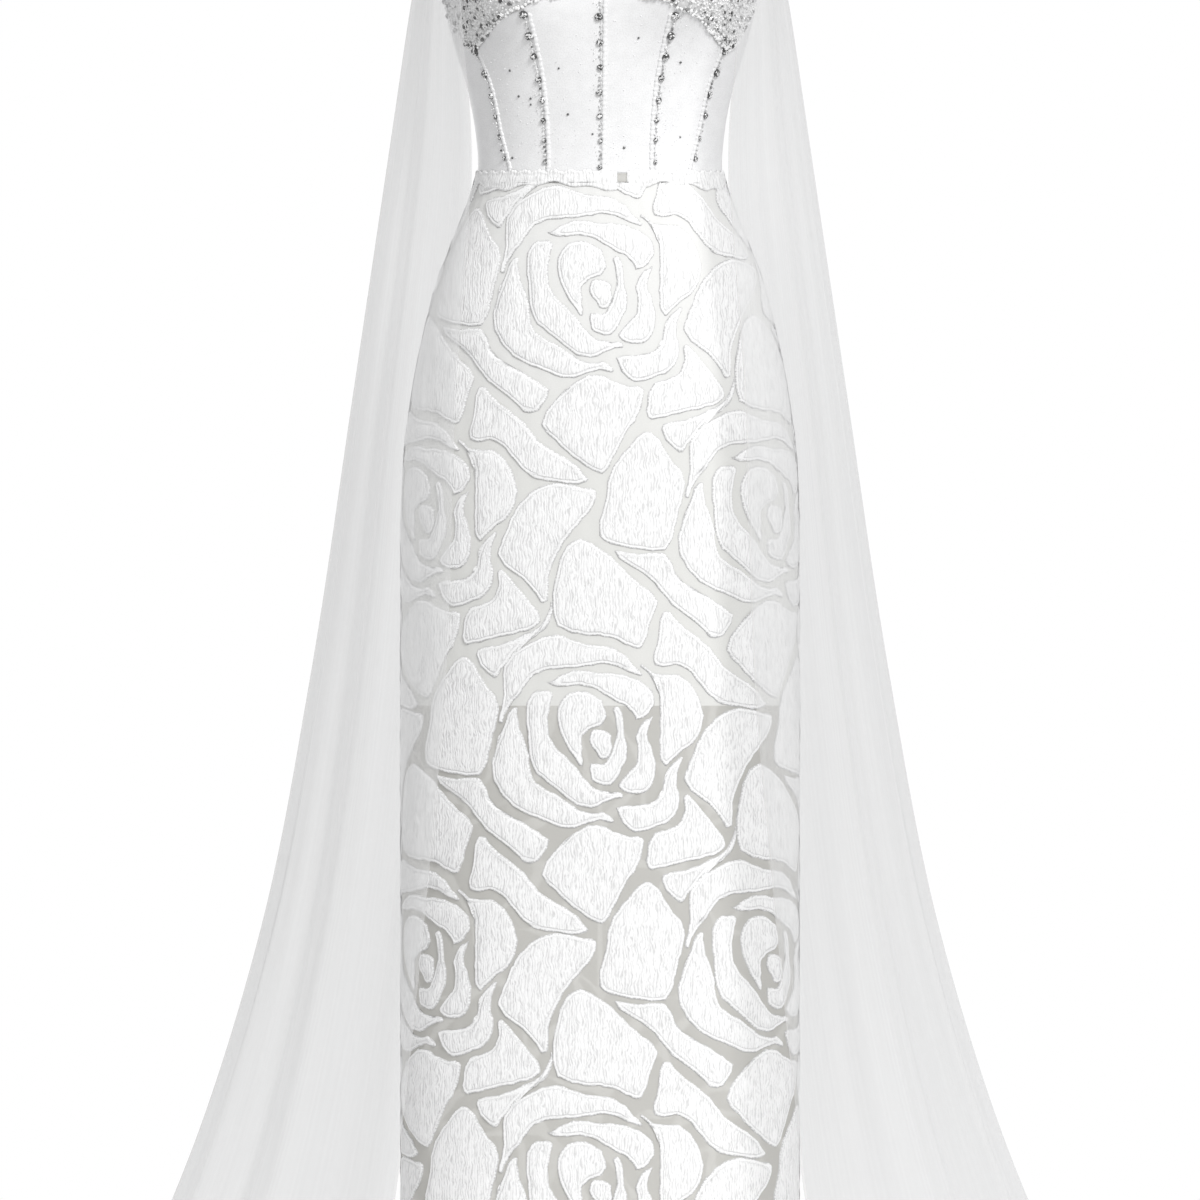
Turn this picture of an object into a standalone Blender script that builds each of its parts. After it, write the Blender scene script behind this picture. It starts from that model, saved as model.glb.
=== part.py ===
"""A sheath gown, worn shape: corset bodice with beaded seams, encrusted cups, a straight rose skirt over a short
lining, and a sheer tulle panel hanging from each shoulder. Metres, +Z up, front towards -Y, origin at the centre
of the waist seam. Angles run round the body from the centre front, 90 at the wearer's left side (+X)."""

import math

import bmesh
import bpy
import numpy as np
from mathutils import Vector
from mathutils.geometry import delaunay_2d_cdt

# Heights of the main lines, from the waist seam
HEM = -1.080
LINING_HEM = -0.509
LINING_STEPS = 10
SHOULDER = 0.400
UNDERARM = 0.215
BACK_TOP = 0.190
ZIP_FOOT = -0.200

# Cloth walls and the gap that parts two pieces at a seam
SEAM_GAP = 0.0003
BODICE_WALL = 0.0020
CUP_WALL = 0.0030
SKIRT_WALL = 0.0016
LINING_WALL = 0.0010
TULLE_WALL = 0.0010
STRAP_WALL = 0.0020

# The body that the gown is cut for: smooth sections, lowest first
SECTIONS = (
    # height, half_width, front_depth, back_depth
    (-1.080, 0.1900, 0.108, 0.112),
    (-0.700, 0.1900, 0.108, 0.113),
    (-0.400, 0.1900, 0.108, 0.114),
    (-0.300, 0.1890, 0.108, 0.116),
    (-0.260, 0.1865, 0.108, 0.117),
    (-0.220, 0.1810, 0.107, 0.117),
    (-0.170, 0.1720, 0.105, 0.115),
    (-0.135, 0.1640, 0.102, 0.111),
    (-0.100, 0.1545, 0.099, 0.106),
    (-0.065, 0.1410, 0.095, 0.099),
    (-0.030, 0.1270, 0.089, 0.091),
    (0.000, 0.1180, 0.084, 0.086),
    (0.040, 0.1195, 0.085, 0.087),
    (0.080, 0.1270, 0.090, 0.090),
    (0.125, 0.1405, 0.097, 0.094),
    (0.168, 0.1510, 0.104, 0.098),
    (0.215, 0.1570, 0.106, 0.100),
    (0.260, 0.1580, 0.104, 0.100),
)

# How far the cups stand out of those sections, and where
BUST_RISE = 0.026
BUST_ANGLE, BUST_SPREAD = 33.0, 17.0
BUST_HEIGHT, BUST_TALL = 0.180, 0.050

CUP_EDGE = (
    # angle, height of the cup's lower edge
    (0, 0.200),
    (8, 0.180),
    (14, 0.168),
    (20, 0.166),
    (28, 0.155),
    (34, 0.149),
    (42, 0.138),
    (52, 0.125),
    (59, 0.119),
    (66, 0.123),
    (73, 0.140),
    (79, 0.163),
    (83, 0.205),
)
NECKLINE = (
    # angle, height of the cup's upper edge
    (0, 0.214),
    (12, 0.228),
    (25, 0.246),
    (38, 0.256),
    (50, 0.257),
    (60, 0.250),
    (72, 0.234),
    (83, 0.216),
)
BACK_EDGE = (
    # angle, height of the bodice's upper edge behind the cups
    (83, 0.205),
    (90, UNDERARM - 0.006),
    (110, 0.203),
    (140, 0.194),
    (180, BACK_TOP),
)
CUP_END = 83.0

# Seams of the corset: where each lies at a height
INNER_SEAM = ((0.0, 26.5), (0.16, 26.5))
OUTER_SEAM = ((0.0, 48.0), (0.04, 54.0), (0.086, 56.0), (0.12, 59.0))
SIDE_SEAM = ((0.0, 90.0), (0.2, 90.0))
BACK_SEAM = ((0.0, 136.0), (0.2, 132.0))
CENTRE_FRONT = ((0.0, 0.0), (0.2, 0.0))
CENTRE_BACK = ((0.0, 180.0), (0.2, 180.0))

# Stones sewn along the corset's seams
STONES_CENTRE, STONES_INNER, STONES_OUTER = 9, 8, 6
STONE_LOW, STONE_HIGH = 0.0020, 0.0044
STONE_RISE = 0.8
CUP_STONE_RISE = 0.0008
TAPE_RISE = 0.0012
TAPE_STOP = 0.004
FRONT_ROWS = 9

# The rose cloth: a half-drop repeat of roses, each a bud with rings of petals round it
ROSE_COLUMN = 0.180
ROSE_REPEAT = 0.430
ROSE_TOP = -0.110
PETAL_RISE = 0.0012
CHANNEL_NARROW, CHANNEL_WIDE = 0.0048, 0.0112
ROSE_RINGS = (
    # outer radius, first cut, slant of the cuts, shares of the petals
    (0.0125, 0, 0, (1,)),
    (0.0380, 200, 24, (5, 3.4)),
    (0.0670, 120, 22, (4.6, 2.2, 3.8)),
    (0.1010, 62, 16, (3.4, 4, 2.3, 3.2)),
    (0.0000, 72, -8, (44, 40, 44, 50, 48, 34, 48, 52)),
)
WARP = (
    # reach, waves across two columns, waves up one repeat, start
    (0.0088, 1, 3, 2.2),
    (0.0050, -3, 1, 3.2),
    (0.0034, 5, -3, 3.0),
)
BUD_WIDE, BUD_TALL = 1.12, 0.72
PETAL_GAP, GAP_SWING = 0.0036, 0.0008
# Points along the bottom of the channels on each ring's outer edge
CHANNEL_POINTS = (4, 6, 8, 9, 12)

# Heights at which the skirt's edges and its plain inside have points
SKIRT_FOOT_ROWS = (HEM, -0.95, -0.8, -0.65, -0.5, -0.4, -0.3)
SKIRT_ROWS = (*SKIRT_FOOT_ROWS, -0.25, -0.2, -0.15, -0.11, -0.07, -0.035, -0.017, -SEAM_GAP / 2)
BACK_ROWS = 7
# Degrees times metres under which a petal that a seam cuts off is left out
SMALLEST_PETAL = 0.02
# Degrees beside the centre back seam that the zip's placket lies over
PLACKET_MARGIN = 3.4
# Nearest that a plain point may lie to a petal's corner
CLEAR_OF_OUTLINES = 0.011
# Metres of cloth to a degree, which keeps the triangles even
DEGREE = 0.0026
# Degrees that a straight edge of a petal may span, and how far a plain edge may sink under the body's curve
WIDEST_EDGE = 12.0
MOST_SINK = 0.0008
SINK_ROUNDS = 3

# Tulle panel on the wearer's left: front edge, outermost line and back edge at each height
TULLE = (
    # height, front_x, front_y, side_x, side_y, back_x, back_y, fold depth
    (SHOULDER, 0.1378, -0.030, 0.1378, 0.0, 0.1378, 0.026, 0.0000),
    (0.290, 0.1360, -0.078, 0.1590, 0.0, 0.1360, 0.058, 0.0010),
    (0.168, 0.1340, -0.104, 0.1810, 0.0, 0.1340, 0.082, 0.0018),
    (0.040, 0.1245, -0.106, 0.2000, 0.0, 0.1245, 0.100, 0.0026),
    (-0.216, 0.1380, -0.124, 0.2380, 0.0, 0.1380, 0.142, 0.0042),
    (-0.480, 0.1470, -0.135, 0.2780, 0.0, 0.1470, 0.182, 0.0060),
    (-0.720, 0.1680, -0.144, 0.3250, 0.0, 0.1680, 0.226, 0.0080),
    (-0.910, 0.1885, -0.154, 0.3830, 0.0, 0.1885, 0.268, 0.0095),
    (HEM, 0.2120, -0.166, 0.4520, 0.0, 0.2120, 0.310, 0.0110),
)
TULLE_FOLDS = 6
FOLD_DRIFT = 0.45
TULLE_STEPS = 38

# Strap: centre angles where it meets the cup and the back, its width, and where it crosses the shoulder
STRAP_FRONT_ANGLE, STRAP_BACK_ANGLE = 45.0, 133.0
STRAP_WIDTH = 0.014
STRAP_SHOULDER_X = 0.1300

# Concealed zip at the centre back, with its slider and a small tab
PLACKET_WIDTH = 0.009
PLACKET_WALL = 0.0010
SLIDER_SIZE = (0.0056, 0.0018, 0.0090)
EAR_WIDTH, EAR_GAP, EAR_RADIUS = 0.0010, 0.0030, 0.0013
PIN_RADIUS, LOOP_HOLE, LOOP_RADIUS, LOOP_WIDTH = 0.00055, 0.00085, 0.0015, 0.0024
TAB_LENGTH, TAB_WIDTH, TAB_THICKNESS = 0.017, 0.0064, 0.0010
SLIDER_HEIGHT = 0.178

COLOURS = {
    # name: base colour, roughness, metallic
    "satin": ((0.93, 0.93, 0.94), 0.42, 0.0),
    "crystal": ((0.80, 0.82, 0.84), 0.15, 0.4),
    "rose_cloth": ((0.90, 0.90, 0.89), 0.70, 0.0),
    "lining": ((0.95, 0.95, 0.95), 0.60, 0.0),
    "tulle": ((0.88, 0.88, 0.89), 0.80, 0.0),
    "zip_metal": ((0.90, 0.90, 0.90), 0.35, 0.6),
}


def clear_scene():
    for old in list(bpy.data.objects):
        bpy.data.objects.remove(old, do_unlink=True)


def material(name):
    """The Principled material of one finish, made once."""
    found = bpy.data.materials.get(name)
    if found:
        return found
    colour, roughness, metallic = COLOURS[name]
    made = bpy.data.materials.new(name)
    made.use_nodes = True
    shader = made.node_tree.nodes["Principled BSDF"]
    shader.inputs["Base Color"].default_value = (*colour, 1.0)
    shader.inputs["Roughness"].default_value = roughness
    shader.inputs["Metallic"].default_value = metallic
    return made


def add_object(name, mesh, finish):
    """Puts a mesh into the scene as a smooth-shaded named piece."""
    mesh.materials.append(material(finish))
    mesh.shade_smooth()
    mesh.set_sharp_from_angle(angle=math.radians(40))
    piece = bpy.data.objects.new(name, mesh)
    bpy.context.collection.objects.link(piece)
    return piece


def add_mesh(name, points, faces, finish):
    mesh = bpy.data.meshes.new(name)
    mesh.from_pydata([tuple(p) for p in points], [], faces)
    mesh.update()
    return add_object(name, mesh, finish)


def smooth_table(table, column, at):
    """Smooth curve through one column of a table whose first column rises."""
    keys = np.array([row[0] for row in table], float)
    values = np.array([row[column] for row in table], float)
    slopes = np.gradient(values, keys)
    at = np.clip(np.asarray(at, float), keys[0], keys[-1])
    i = np.clip(np.searchsorted(keys, at) - 1, 0, len(keys) - 2)
    step = keys[i + 1] - keys[i]
    t = (at - keys[i]) / step
    start = (2 * t**3 - 3 * t**2 + 1) * values[i] + (t**3 - 2 * t**2 + t) * step * slopes[i]
    end = (3 * t**2 - 2 * t**3) * values[i + 1] + (t**3 - t**2) * step * slopes[i + 1]
    return start + end


def body(angle, height, out=0.0):
    """A point of the worn shape: an oval section with its own front and back depth, the bust raised, moved out."""
    angle, height = np.broadcast_arrays(np.asarray(angle, float), np.asarray(height, float))
    turn = np.radians(angle)
    wide = smooth_table(SECTIONS, 1, height)
    front = smooth_table(SECTIONS, 2, height)
    back = smooth_table(SECTIONS, 3, height)
    round_bust = np.exp(-(((np.abs(angle) - BUST_ANGLE) / BUST_SPREAD) ** 2))
    tall_bust = np.exp(-(((height - BUST_HEIGHT) / BUST_TALL) ** 2))
    out = out + BUST_RISE * round_bust * tall_bust
    deep = np.where(np.cos(turn) >= 0, front, back)
    return np.stack([(wide + out) * np.sin(turn), -(deep + out) * np.cos(turn), height], axis=-1)


def angle_of(length, height):
    """Degrees that a length along the section covers at a height."""
    angle = length / float(smooth_table(SECTIONS, 1, height))
    return math.degrees(angle)


def wall_faces(rows, cols):
    """Faces of a wall between two grids of points, the outer grid first, with its four rims."""
    count = rows * cols
    faces = []
    for r in range(rows - 1):
        for c in range(cols - 1):
            a, b = r * cols + c, r * cols + c + 1
            d, e = a + cols, b + cols
            faces.append((a, b, e, d))
            faces.append((count + a, count + d, count + e, count + b))
    loop = [c for c in range(cols)]
    loop += [r * cols + cols - 1 for r in range(1, rows)]
    loop += [(rows - 1) * cols + c for c in range(cols - 2, -1, -1)]
    loop += [r * cols for r in range(rows - 2, 0, -1)]
    for a, b in zip(loop, loop[1:] + loop[:1]):
        faces.append((b, a, count + a, count + b))
    return faces


def add_wall(name, outer, inner, finish):
    rows, cols = outer.shape[:2]
    points = np.concatenate([outer.reshape(-1, 3), inner.reshape(-1, 3)])
    return add_mesh(name, points, wall_faces(rows, cols), finish)


def mirrored(grid):
    """The same grid on the other side of the centre line, its columns turned round so that it still faces out."""
    return grid[:, ::-1] * np.array([-1.0, 1.0, 1.0])


def add_pair(name, outer, inner, finish):
    add_wall(name + "_left", outer, inner, finish)
    add_wall(name + "_right", mirrored(outer), mirrored(inner), finish)


def thick(grid, wall):
    """Outer and inner grids of a wall whose middle is the grid, moved along its normals."""
    across = np.gradient(grid, axis=1)
    up = np.gradient(grid, axis=0)
    normal = np.cross(across, up)
    normal /= np.linalg.norm(normal, axis=-1, keepdims=True)
    return grid + normal * wall / 2, grid - normal * wall / 2


def upper_edge(angle):
    """Height of the bodice panels' upper edge: under the cups in front, free behind them."""
    angle = np.abs(angle)
    return np.where(angle < CUP_END, smooth_table(CUP_EDGE, 1, angle), smooth_table(BACK_EDGE, 1, angle))


def corset_panel(seam_low, seam_high, cols, rows):
    """Angles and heights of one panel between two seams, from the waist to the upper edge."""
    gap = SEAM_GAP / 2
    shares = np.linspace(0, 1, cols)
    angles = np.empty((rows, cols))
    heights = np.empty((rows, cols))
    for c, share in enumerate(shares):
        top = 0.15
        for _ in range(40):
            at = (1 - share) * smooth_table(seam_low, 1, top) + share * smooth_table(seam_high, 1, top)
            top = 0.5 * top + 0.5 * float(upper_edge(at))
        height = np.linspace(gap, top - gap, rows)
        low = smooth_table(seam_low, 1, height) + angle_of(gap, 0.0)
        high = smooth_table(seam_high, 1, height) - angle_of(gap, 0.0)
        angles[:, c] = (1 - share) * low + share * high
        heights[:, c] = height
    return angles, heights


def make_bodice():
    """Five panels on each side, cut between the corset's seams. Returns their upper edge, angles and heights."""
    panels = (
        # name, seam before, seam after, columns, rows
        ("bodice_front_centre", CENTRE_FRONT, INNER_SEAM, 5, FRONT_ROWS),
        ("bodice_front_side", INNER_SEAM, OUTER_SEAM, 6, FRONT_ROWS),
        ("bodice_side", OUTER_SEAM, SIDE_SEAM, 9, FRONT_ROWS),
        ("bodice_back_side", SIDE_SEAM, BACK_SEAM, 6, BACK_ROWS),
        ("bodice_back_centre", BACK_SEAM, CENTRE_BACK, 6, BACK_ROWS),
    )
    edge = []
    for name, before, after, cols, rows in panels:
        angles, heights = corset_panel(before, after, cols, rows)
        add_pair(name, body(angles, heights), body(angles, heights, -BODICE_WALL), "satin")
        edge += list(zip(angles[-1], heights[-1]))
    return edge


def make_cups(edge):
    """Cups over the bust, standing on the panels' upper edge. Their outer points are raised in turn, as the stones
    that cover them are."""
    rows = 9
    foot = [point for point in edge if point[0] < CUP_END]
    foot = [point for point, before in zip(foot, [(-1.0, 0.0)] + foot[:-1]) if point[0] - before[0] > 0.5]
    angle = np.array([point[0] for point in foot])
    low = np.array([point[1] for point in foot]) + SEAM_GAP
    high = smooth_table(NECKLINE, 1, angle)
    share = np.linspace(0, 1, rows)[:, None]
    heights = low + (high - low) * share
    angles = np.broadcast_to(angle, heights.shape)
    row, col = np.indices(heights.shape)
    inside = (row > 0) & (row < rows - 1) & (col > 0) & (col < len(angle) - 1)
    stones = np.where(inside & ((row + col) % 2 == 0), CUP_STONE_RISE, 0.0)
    inner = body(angles, heights, -BODICE_WALL)
    outer = body(angles, heights, CUP_WALL - BODICE_WALL + stones)
    outer[0] = body(angles[0], heights[0], 0.0)
    add_pair("cup", outer, inner, "crystal")


def on_rows(angles, heights, rows, out):
    """Points of a panel's flat facets: straight between its rows of points, moved out."""
    i = np.clip(np.searchsorted(rows, heights) - 1, 0, len(rows) - 2)
    share = ((heights - rows[i]) / (rows[i + 1] - rows[i]))[..., None]
    return body(angles, rows[i], out) * (1 - share) + body(angles, rows[i + 1], out) * share


def beaded_tape(seam, stones, foot, head):
    """A tape laid along a seam, narrow at the waist and wider above, a stone raised at every other row."""
    rows = 2 * stones + 1
    height = np.linspace(foot, head, rows)
    share = (height - foot) / (head - foot)
    half = STONE_LOW + (STONE_HIGH - STONE_LOW) * share
    stone = np.arange(rows) % 2 == 1
    width = np.degrees(half * np.where(stone, 1.0, 0.7) / smooth_table(SECTIONS, 1, height))
    middle = smooth_table(seam, 1, height)
    angles = middle[:, None] + width[:, None] * np.array([-1.0, -0.5, 0.0, 0.5, 1.0])
    heights = np.broadcast_to(height[:, None], angles.shape)
    crown = np.where(stone, STONE_RISE * half, TAPE_RISE)
    rise = np.stack([0 * crown, 0.8 * crown, crown, 0.8 * crown, 0 * crown], axis=1) + TAPE_RISE / 2
    top = head + TAPE_STOP
    panel_rows = np.linspace(SEAM_GAP / 2, top - SEAM_GAP / 2, FRONT_ROWS)
    low = np.full_like(rise, SEAM_GAP)
    return on_rows(angles, heights, panel_rows, low + rise), on_rows(angles, heights, panel_rows, low)


def make_seam_beading():
    for name, seam, stones in (
        ("seam_beading_centre", CENTRE_FRONT, STONES_CENTRE),
        ("seam_beading_inner", INNER_SEAM, STONES_INNER),
        ("seam_beading_outer", OUTER_SEAM, STONES_OUTER),
    ):
        top = float(upper_edge(smooth_table(seam, 1, 0.2)))
        outer, inner = beaded_tape(seam, stones, TAPE_STOP, top - TAPE_STOP)
        if seam is CENTRE_FRONT:
            add_wall(name, outer, inner, "crystal")
        else:
            add_pair(name, outer, inner, "crystal")


def cell_edge(turn):
    """Radius of a rose's cell: half way to the roses beside it and diagonally above and below."""
    diagonal = (ROSE_COLUMN**2 + (ROSE_REPEAT / 2) ** 2) / 2
    across = np.abs(np.cos(turn))
    up = np.abs(np.sin(turn))
    return np.minimum(ROSE_COLUMN / np.maximum(across, 1e-6), diagonal / (ROSE_COLUMN * across + ROSE_REPEAT / 2 * up))


def ring_cuts(ring):
    """Angles, in degrees, at which a ring is cut into petals, one more than its petals."""
    _, first, _, shares = ROSE_RINGS[ring]
    return first + 360 * np.concatenate([[0], np.cumsum(shares)]) / sum(shares)


def ring_edge(ring, turn):
    """Radius of a ring's outer edge: each petal bellies out between its cuts, and the last ring fills the cell."""
    if ring < 0:
        return np.zeros_like(turn)
    if ring == len(ROSE_RINGS) - 1:
        return cell_edge(turn)
    radius, first, _, _ = ROSE_RINGS[ring]
    if ring == 0:
        return radius * (1 + 0.25 * np.cos(2 * turn))
    cuts = ring_cuts(ring)
    place = np.mod(np.degrees(turn) - first, 360) + first
    i = np.clip(np.searchsorted(cuts, place, side="right") - 1, 0, len(cuts) - 2)
    share = (place - cuts[i]) / (cuts[i + 1] - cuts[i])
    belly = 0.86 + 0.22 * np.abs(np.sin(np.pi * share)) ** 0.75
    return radius * belly * (1 + 0.06 * np.cos(turn - ring)) * (1 + 0.05 * np.cos(2 * turn))


def channel(ring, turn):
    """Width of the sheer channel on a ring's outer edge, wide and narrow by turns like a pen stroke."""
    swell = 0.45 + 0.38 * np.sin(turn * 2 + 1.9 * ring) + 0.17 * np.sin(turn * 5 + 4.1 * ring)
    return CHANNEL_NARROW + (CHANNEL_WIDE - CHANNEL_NARROW) * np.clip(swell, 0, 1)


def petal_edges(ring, turn):
    """Inner and outer radius left for a petal between its channels."""
    inner = ring_edge(ring - 1, turn) + channel(ring - 1, turn) / 2
    return inner, ring_edge(ring, turn) - channel(ring, turn) / 2


def petal_place(ring, petal, along, across):
    """Rose coordinates of a petal: along -1..1 goes round it, across -1..1 from its inner to its outer edge."""
    across = across * np.sqrt(np.clip(1 - np.abs(along) ** 5, 0, 1))
    out = (across + 1) / 2
    cuts = ring_cuts(ring)
    middle = (cuts[petal] + cuts[petal + 1]) / 2
    half = (cuts[petal + 1] - cuts[petal]) / 2
    inner, outer = petal_edges(ring, np.radians(middle + half * along))
    gap = PETAL_GAP + GAP_SWING * np.sin(3 * petal + ring + along)
    closing = np.degrees(gap / (inner + (outer - inner) * out))
    turn = np.radians(middle + (half - closing) * along + ROSE_RINGS[ring][2] * out)
    inner, outer = petal_edges(ring, turn)
    radius = inner + (outer - inner) * out
    return radius * np.cos(turn), radius * np.sin(turn)


def warped(x, y):
    """Bends the repeat gently, the same way in every repeat, so that no two petals match."""
    across = np.zeros_like(x)
    up = np.zeros_like(y)
    for reach, wide, tall, start in WARP:
        phase = 2 * np.pi * (wide * x / (2 * ROSE_COLUMN) + tall * y / ROSE_REPEAT) + start
        across = across + reach * np.sin(phase)
        up = up + reach * np.cos(phase + 1.3)
    return x + across, y + up


def rose_centres():
    """Centres of all roses that reach the skirt, in cloth coordinates: along the section, and height."""
    centres = []
    for column in range(-4, 5):
        drop = ROSE_REPEAT / 2 if column % 2 else 0.0
        for row in range(-1, 4):
            centres.append((column * ROSE_COLUMN, ROSE_TOP - row * ROSE_REPEAT - drop))
    return centres


def arc_angles(height):
    """Angle and length from the centre front round one section to the centre back."""
    angle = np.linspace(0, 180, 121)
    place = body(angle, np.full_like(angle, height))
    steps = np.linalg.norm(np.diff(place, axis=0), axis=1)
    return angle, np.concatenate([[0.0], np.cumsum(steps)])


class Cloth:
    """Turns a length along the cloth at a height into an angle round the body, from a few measured sections."""

    def __init__(self):
        self.heights = np.linspace(HEM, 0.0, 28)
        self.angles = arc_angles(0.0)[0]
        self.lengths = np.array([arc_angles(h)[1] for h in self.heights])

    def angle(self, along, height):
        place = np.clip((height - HEM) / -HEM * (len(self.heights) - 1), 0, len(self.heights) - 1.001)
        i = int(place)
        lengths = self.lengths[i] + (self.lengths[i + 1] - self.lengths[i]) * (place - i)
        return math.copysign(float(np.interp(abs(along), lengths, self.angles)), along)


def petal_outline(ring, petal):
    """Outline of one petal in rose coordinates, a few points where it turns."""
    if ring == 0:
        turn = np.linspace(-np.pi, np.pi, 7)[:-1]
        radius = ROSE_RINGS[0][0]
        return radius * BUD_WIDE * np.cos(turn), radius * BUD_TALL * np.sin(turn)
    along = np.array([-1.0, -0.72, 0.0, 0.72, 1.0, 0.72, 0.0, -0.72])
    across = np.array([0.0, 1.0, 1.0, 1.0, 0.0, -1.0, -1.0, -1.0])
    return petal_place(ring, petal, along, across)


def channel_points(ring):
    """Points along the bottom of the channels: on the ring's outer edge and across its cuts."""
    if ring == len(ROSE_RINGS) - 1:
        corner = math.atan2((ROSE_REPEAT**2 / 4 - ROSE_COLUMN**2) / 2, ROSE_COLUMN * ROSE_REPEAT / 2)
        turn = np.array([corner, math.pi / 2, math.pi - corner])
        turn = np.concatenate([turn, turn + math.pi])
    else:
        turn = np.radians(ROSE_RINGS[ring][1]) + np.linspace(0, 2 * np.pi, CHANNEL_POINTS[ring], endpoint=False)
    radius = ring_edge(ring, turn)
    x, y = radius * np.cos(turn), radius * np.sin(turn)
    if ring:
        _, _, slant, _ = ROSE_RINGS[ring]
        cut = np.radians(ring_cuts(ring)[:-1] + slant / 2)
        middle = (ring_edge(ring - 1, cut) + ring_edge(ring, cut)) / 2
        x = np.concatenate([x, middle * np.cos(cut)])
        y = np.concatenate([y, middle * np.sin(cut)])
    return x, y


def clipped(outline, axis, limit, keep_below):
    """Part of a closed outline on one side of a line."""
    kept = []
    sign = 1 if keep_below else -1
    for here, after in zip(outline, outline[1:] + outline[:1]):
        inside, next_inside = (limit - here[axis]) * sign >= 0, (limit - after[axis]) * sign >= 0
        if inside:
            kept.append(here)
        if inside != next_inside:
            share = (limit - here[axis]) / (after[axis] - here[axis])
            kept.append(tuple(h + (n - h) * share for h, n in zip(here, after)))
    return kept


def area_of(outline):
    pairs = zip(outline, outline[1:] + outline[:1])
    return abs(sum(a[0] * b[1] - b[0] * a[1] for a, b in pairs)) / 2


def rose_relief(cloth, box):
    """Petal outlines and channel points that fall inside a box of angle and height."""
    low_angle, high_angle, low, high = box
    sides = ((0, low_angle, False), (0, high_angle, True), (1, low, False), (1, high, True))
    petals, hollows = [], []
    for centre_x, centre_y in rose_centres():
        for ring, (_, _, _, shares) in enumerate(ROSE_RINGS):
            for petal in range(len(shares)):
                x, y = petal_outline(ring, petal)
                x, y = warped(x + centre_x, y + centre_y)
                outline = [(cloth.angle(a, h), float(h)) for a, h in zip(x, y)]
                for axis, limit, below in sides:
                    outline = clipped(outline, axis, limit, below) if outline else outline
                if len(outline) > 2 and area_of(outline) > SMALLEST_PETAL:
                    petals.append(outline)
            x, y = channel_points(ring)
            x, y = warped(x + centre_x, y + centre_y)
            for a, h in zip(x, y):
                point = (cloth.angle(a, h), float(h))
                if low_angle < point[0] < high_angle and low < point[1] < high:
                    hollows.append(point)
    return petals, hollows


def border_of(low_angle, high_angle, low, high, cols, heights):
    """Corners and edge points of a panel, once round it."""
    angles = np.linspace(low_angle, high_angle, cols + 1)
    loop = [(a, low) for a in angles]
    loop += [(high_angle, h) for h in heights[1:]]
    loop += [(a, high) for a in angles[::-1][1:]]
    loop += [(low_angle, h) for h in heights[::-1][1:-1]]
    return loop


def inside(point, outline):
    """Whether a point lies within a closed outline."""
    crossings = 0
    for a, b in zip(outline, outline[1:] + outline[:1]):
        if (a[1] > point[1]) != (b[1] > point[1]):
            crossings += point[0] < a[0] + (point[1] - a[1]) / (b[1] - a[1]) * (b[0] - a[0])
    return crossings % 2 == 1


def far_from(point, outlines, others):
    """Whether a point is clear of every outline's corners and of the other points."""
    near = [p for outline in outlines for p in outline] + others
    reach = [math.hypot((p[0] - point[0]) * DEGREE, p[1] - point[1]) for p in near]
    return min(reach) > CLEAR_OF_OUTLINES


def triangulated(border, outlines, lines, loose, crowns):
    """Triangles over a panel that keep its border, raised outlines, flat lines, loose flat points and raised crowns,
    and which of their points are raised."""
    places = list(border)
    edges = [(i, (i + 1) % len(border)) for i in range(len(border))]
    raised = [False] * len(border)
    for outline in outlines:
        start = len(places)
        places += outline
        raised += [True] * len(outline)
        edges += [(start + i, start + (i + 1) % len(outline)) for i in range(len(outline))]
    for line in lines:
        start = len(places)
        places += line
        raised += [False] * len(line)
        edges += [(start + i, start + i + 1) for i in range(len(line) - 1)]
    places += loose + crowns
    raised += [False] * len(loose) + [True] * len(crowns)
    flat = [Vector((a * DEGREE, h)) for a, h in places]
    points, _, faces, sources, _, _ = delaunay_2d_cdt(flat, edges, [], 0, 1e-5)
    lifted = np.array([any(raised[s] for s in source) for source in sources])
    where = np.array([(p.x / DEGREE, p.y) for p in points])
    order = {source: i for i, made in enumerate(sources) for source in made}
    loop = [order[i] for i in range(len(border))]
    return where, [tuple(f) for f in faces], lifted, loop


def evened(outline):
    """The same outline with points added on its long edges, so that they follow the body's curve."""
    longer = []
    for here, after in zip(outline, outline[1:] + outline[:1]):
        count = max(1, math.ceil(abs(after[0] - here[0]) / WIDEST_EDGE))
        longer += [tuple(h + (n - h) * k / count for h, n in zip(here, after)) for k in range(count)]
    return longer


def sunk_edges(where, faces, lifted, loop):
    """Middles of the straight edges that sink too far under the body's curve, apart from the panel's own border."""
    edges = {tuple(sorted(pair)) for face in faces for pair in zip(face, face[1:] + face[:1])}
    edges -= {tuple(sorted(pair)) for pair in zip(loop, loop[1:] + loop[:1])}
    low, high = np.array(sorted(edges)).T
    rise = np.where(lifted, PETAL_RISE, 0.0)
    points = body(where[:, 0], where[:, 1], rise)
    middle = (where[low] + where[high]) / 2
    mean_rise = (rise[low] + rise[high]) / 2
    curve = body(middle[:, 0], middle[:, 1], mean_rise)
    sink = np.linalg.norm(curve - (points[low] + points[high]) / 2, axis=1) - mean_rise
    return [tuple(place) for place in middle[sink > MOST_SINK]]


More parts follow.
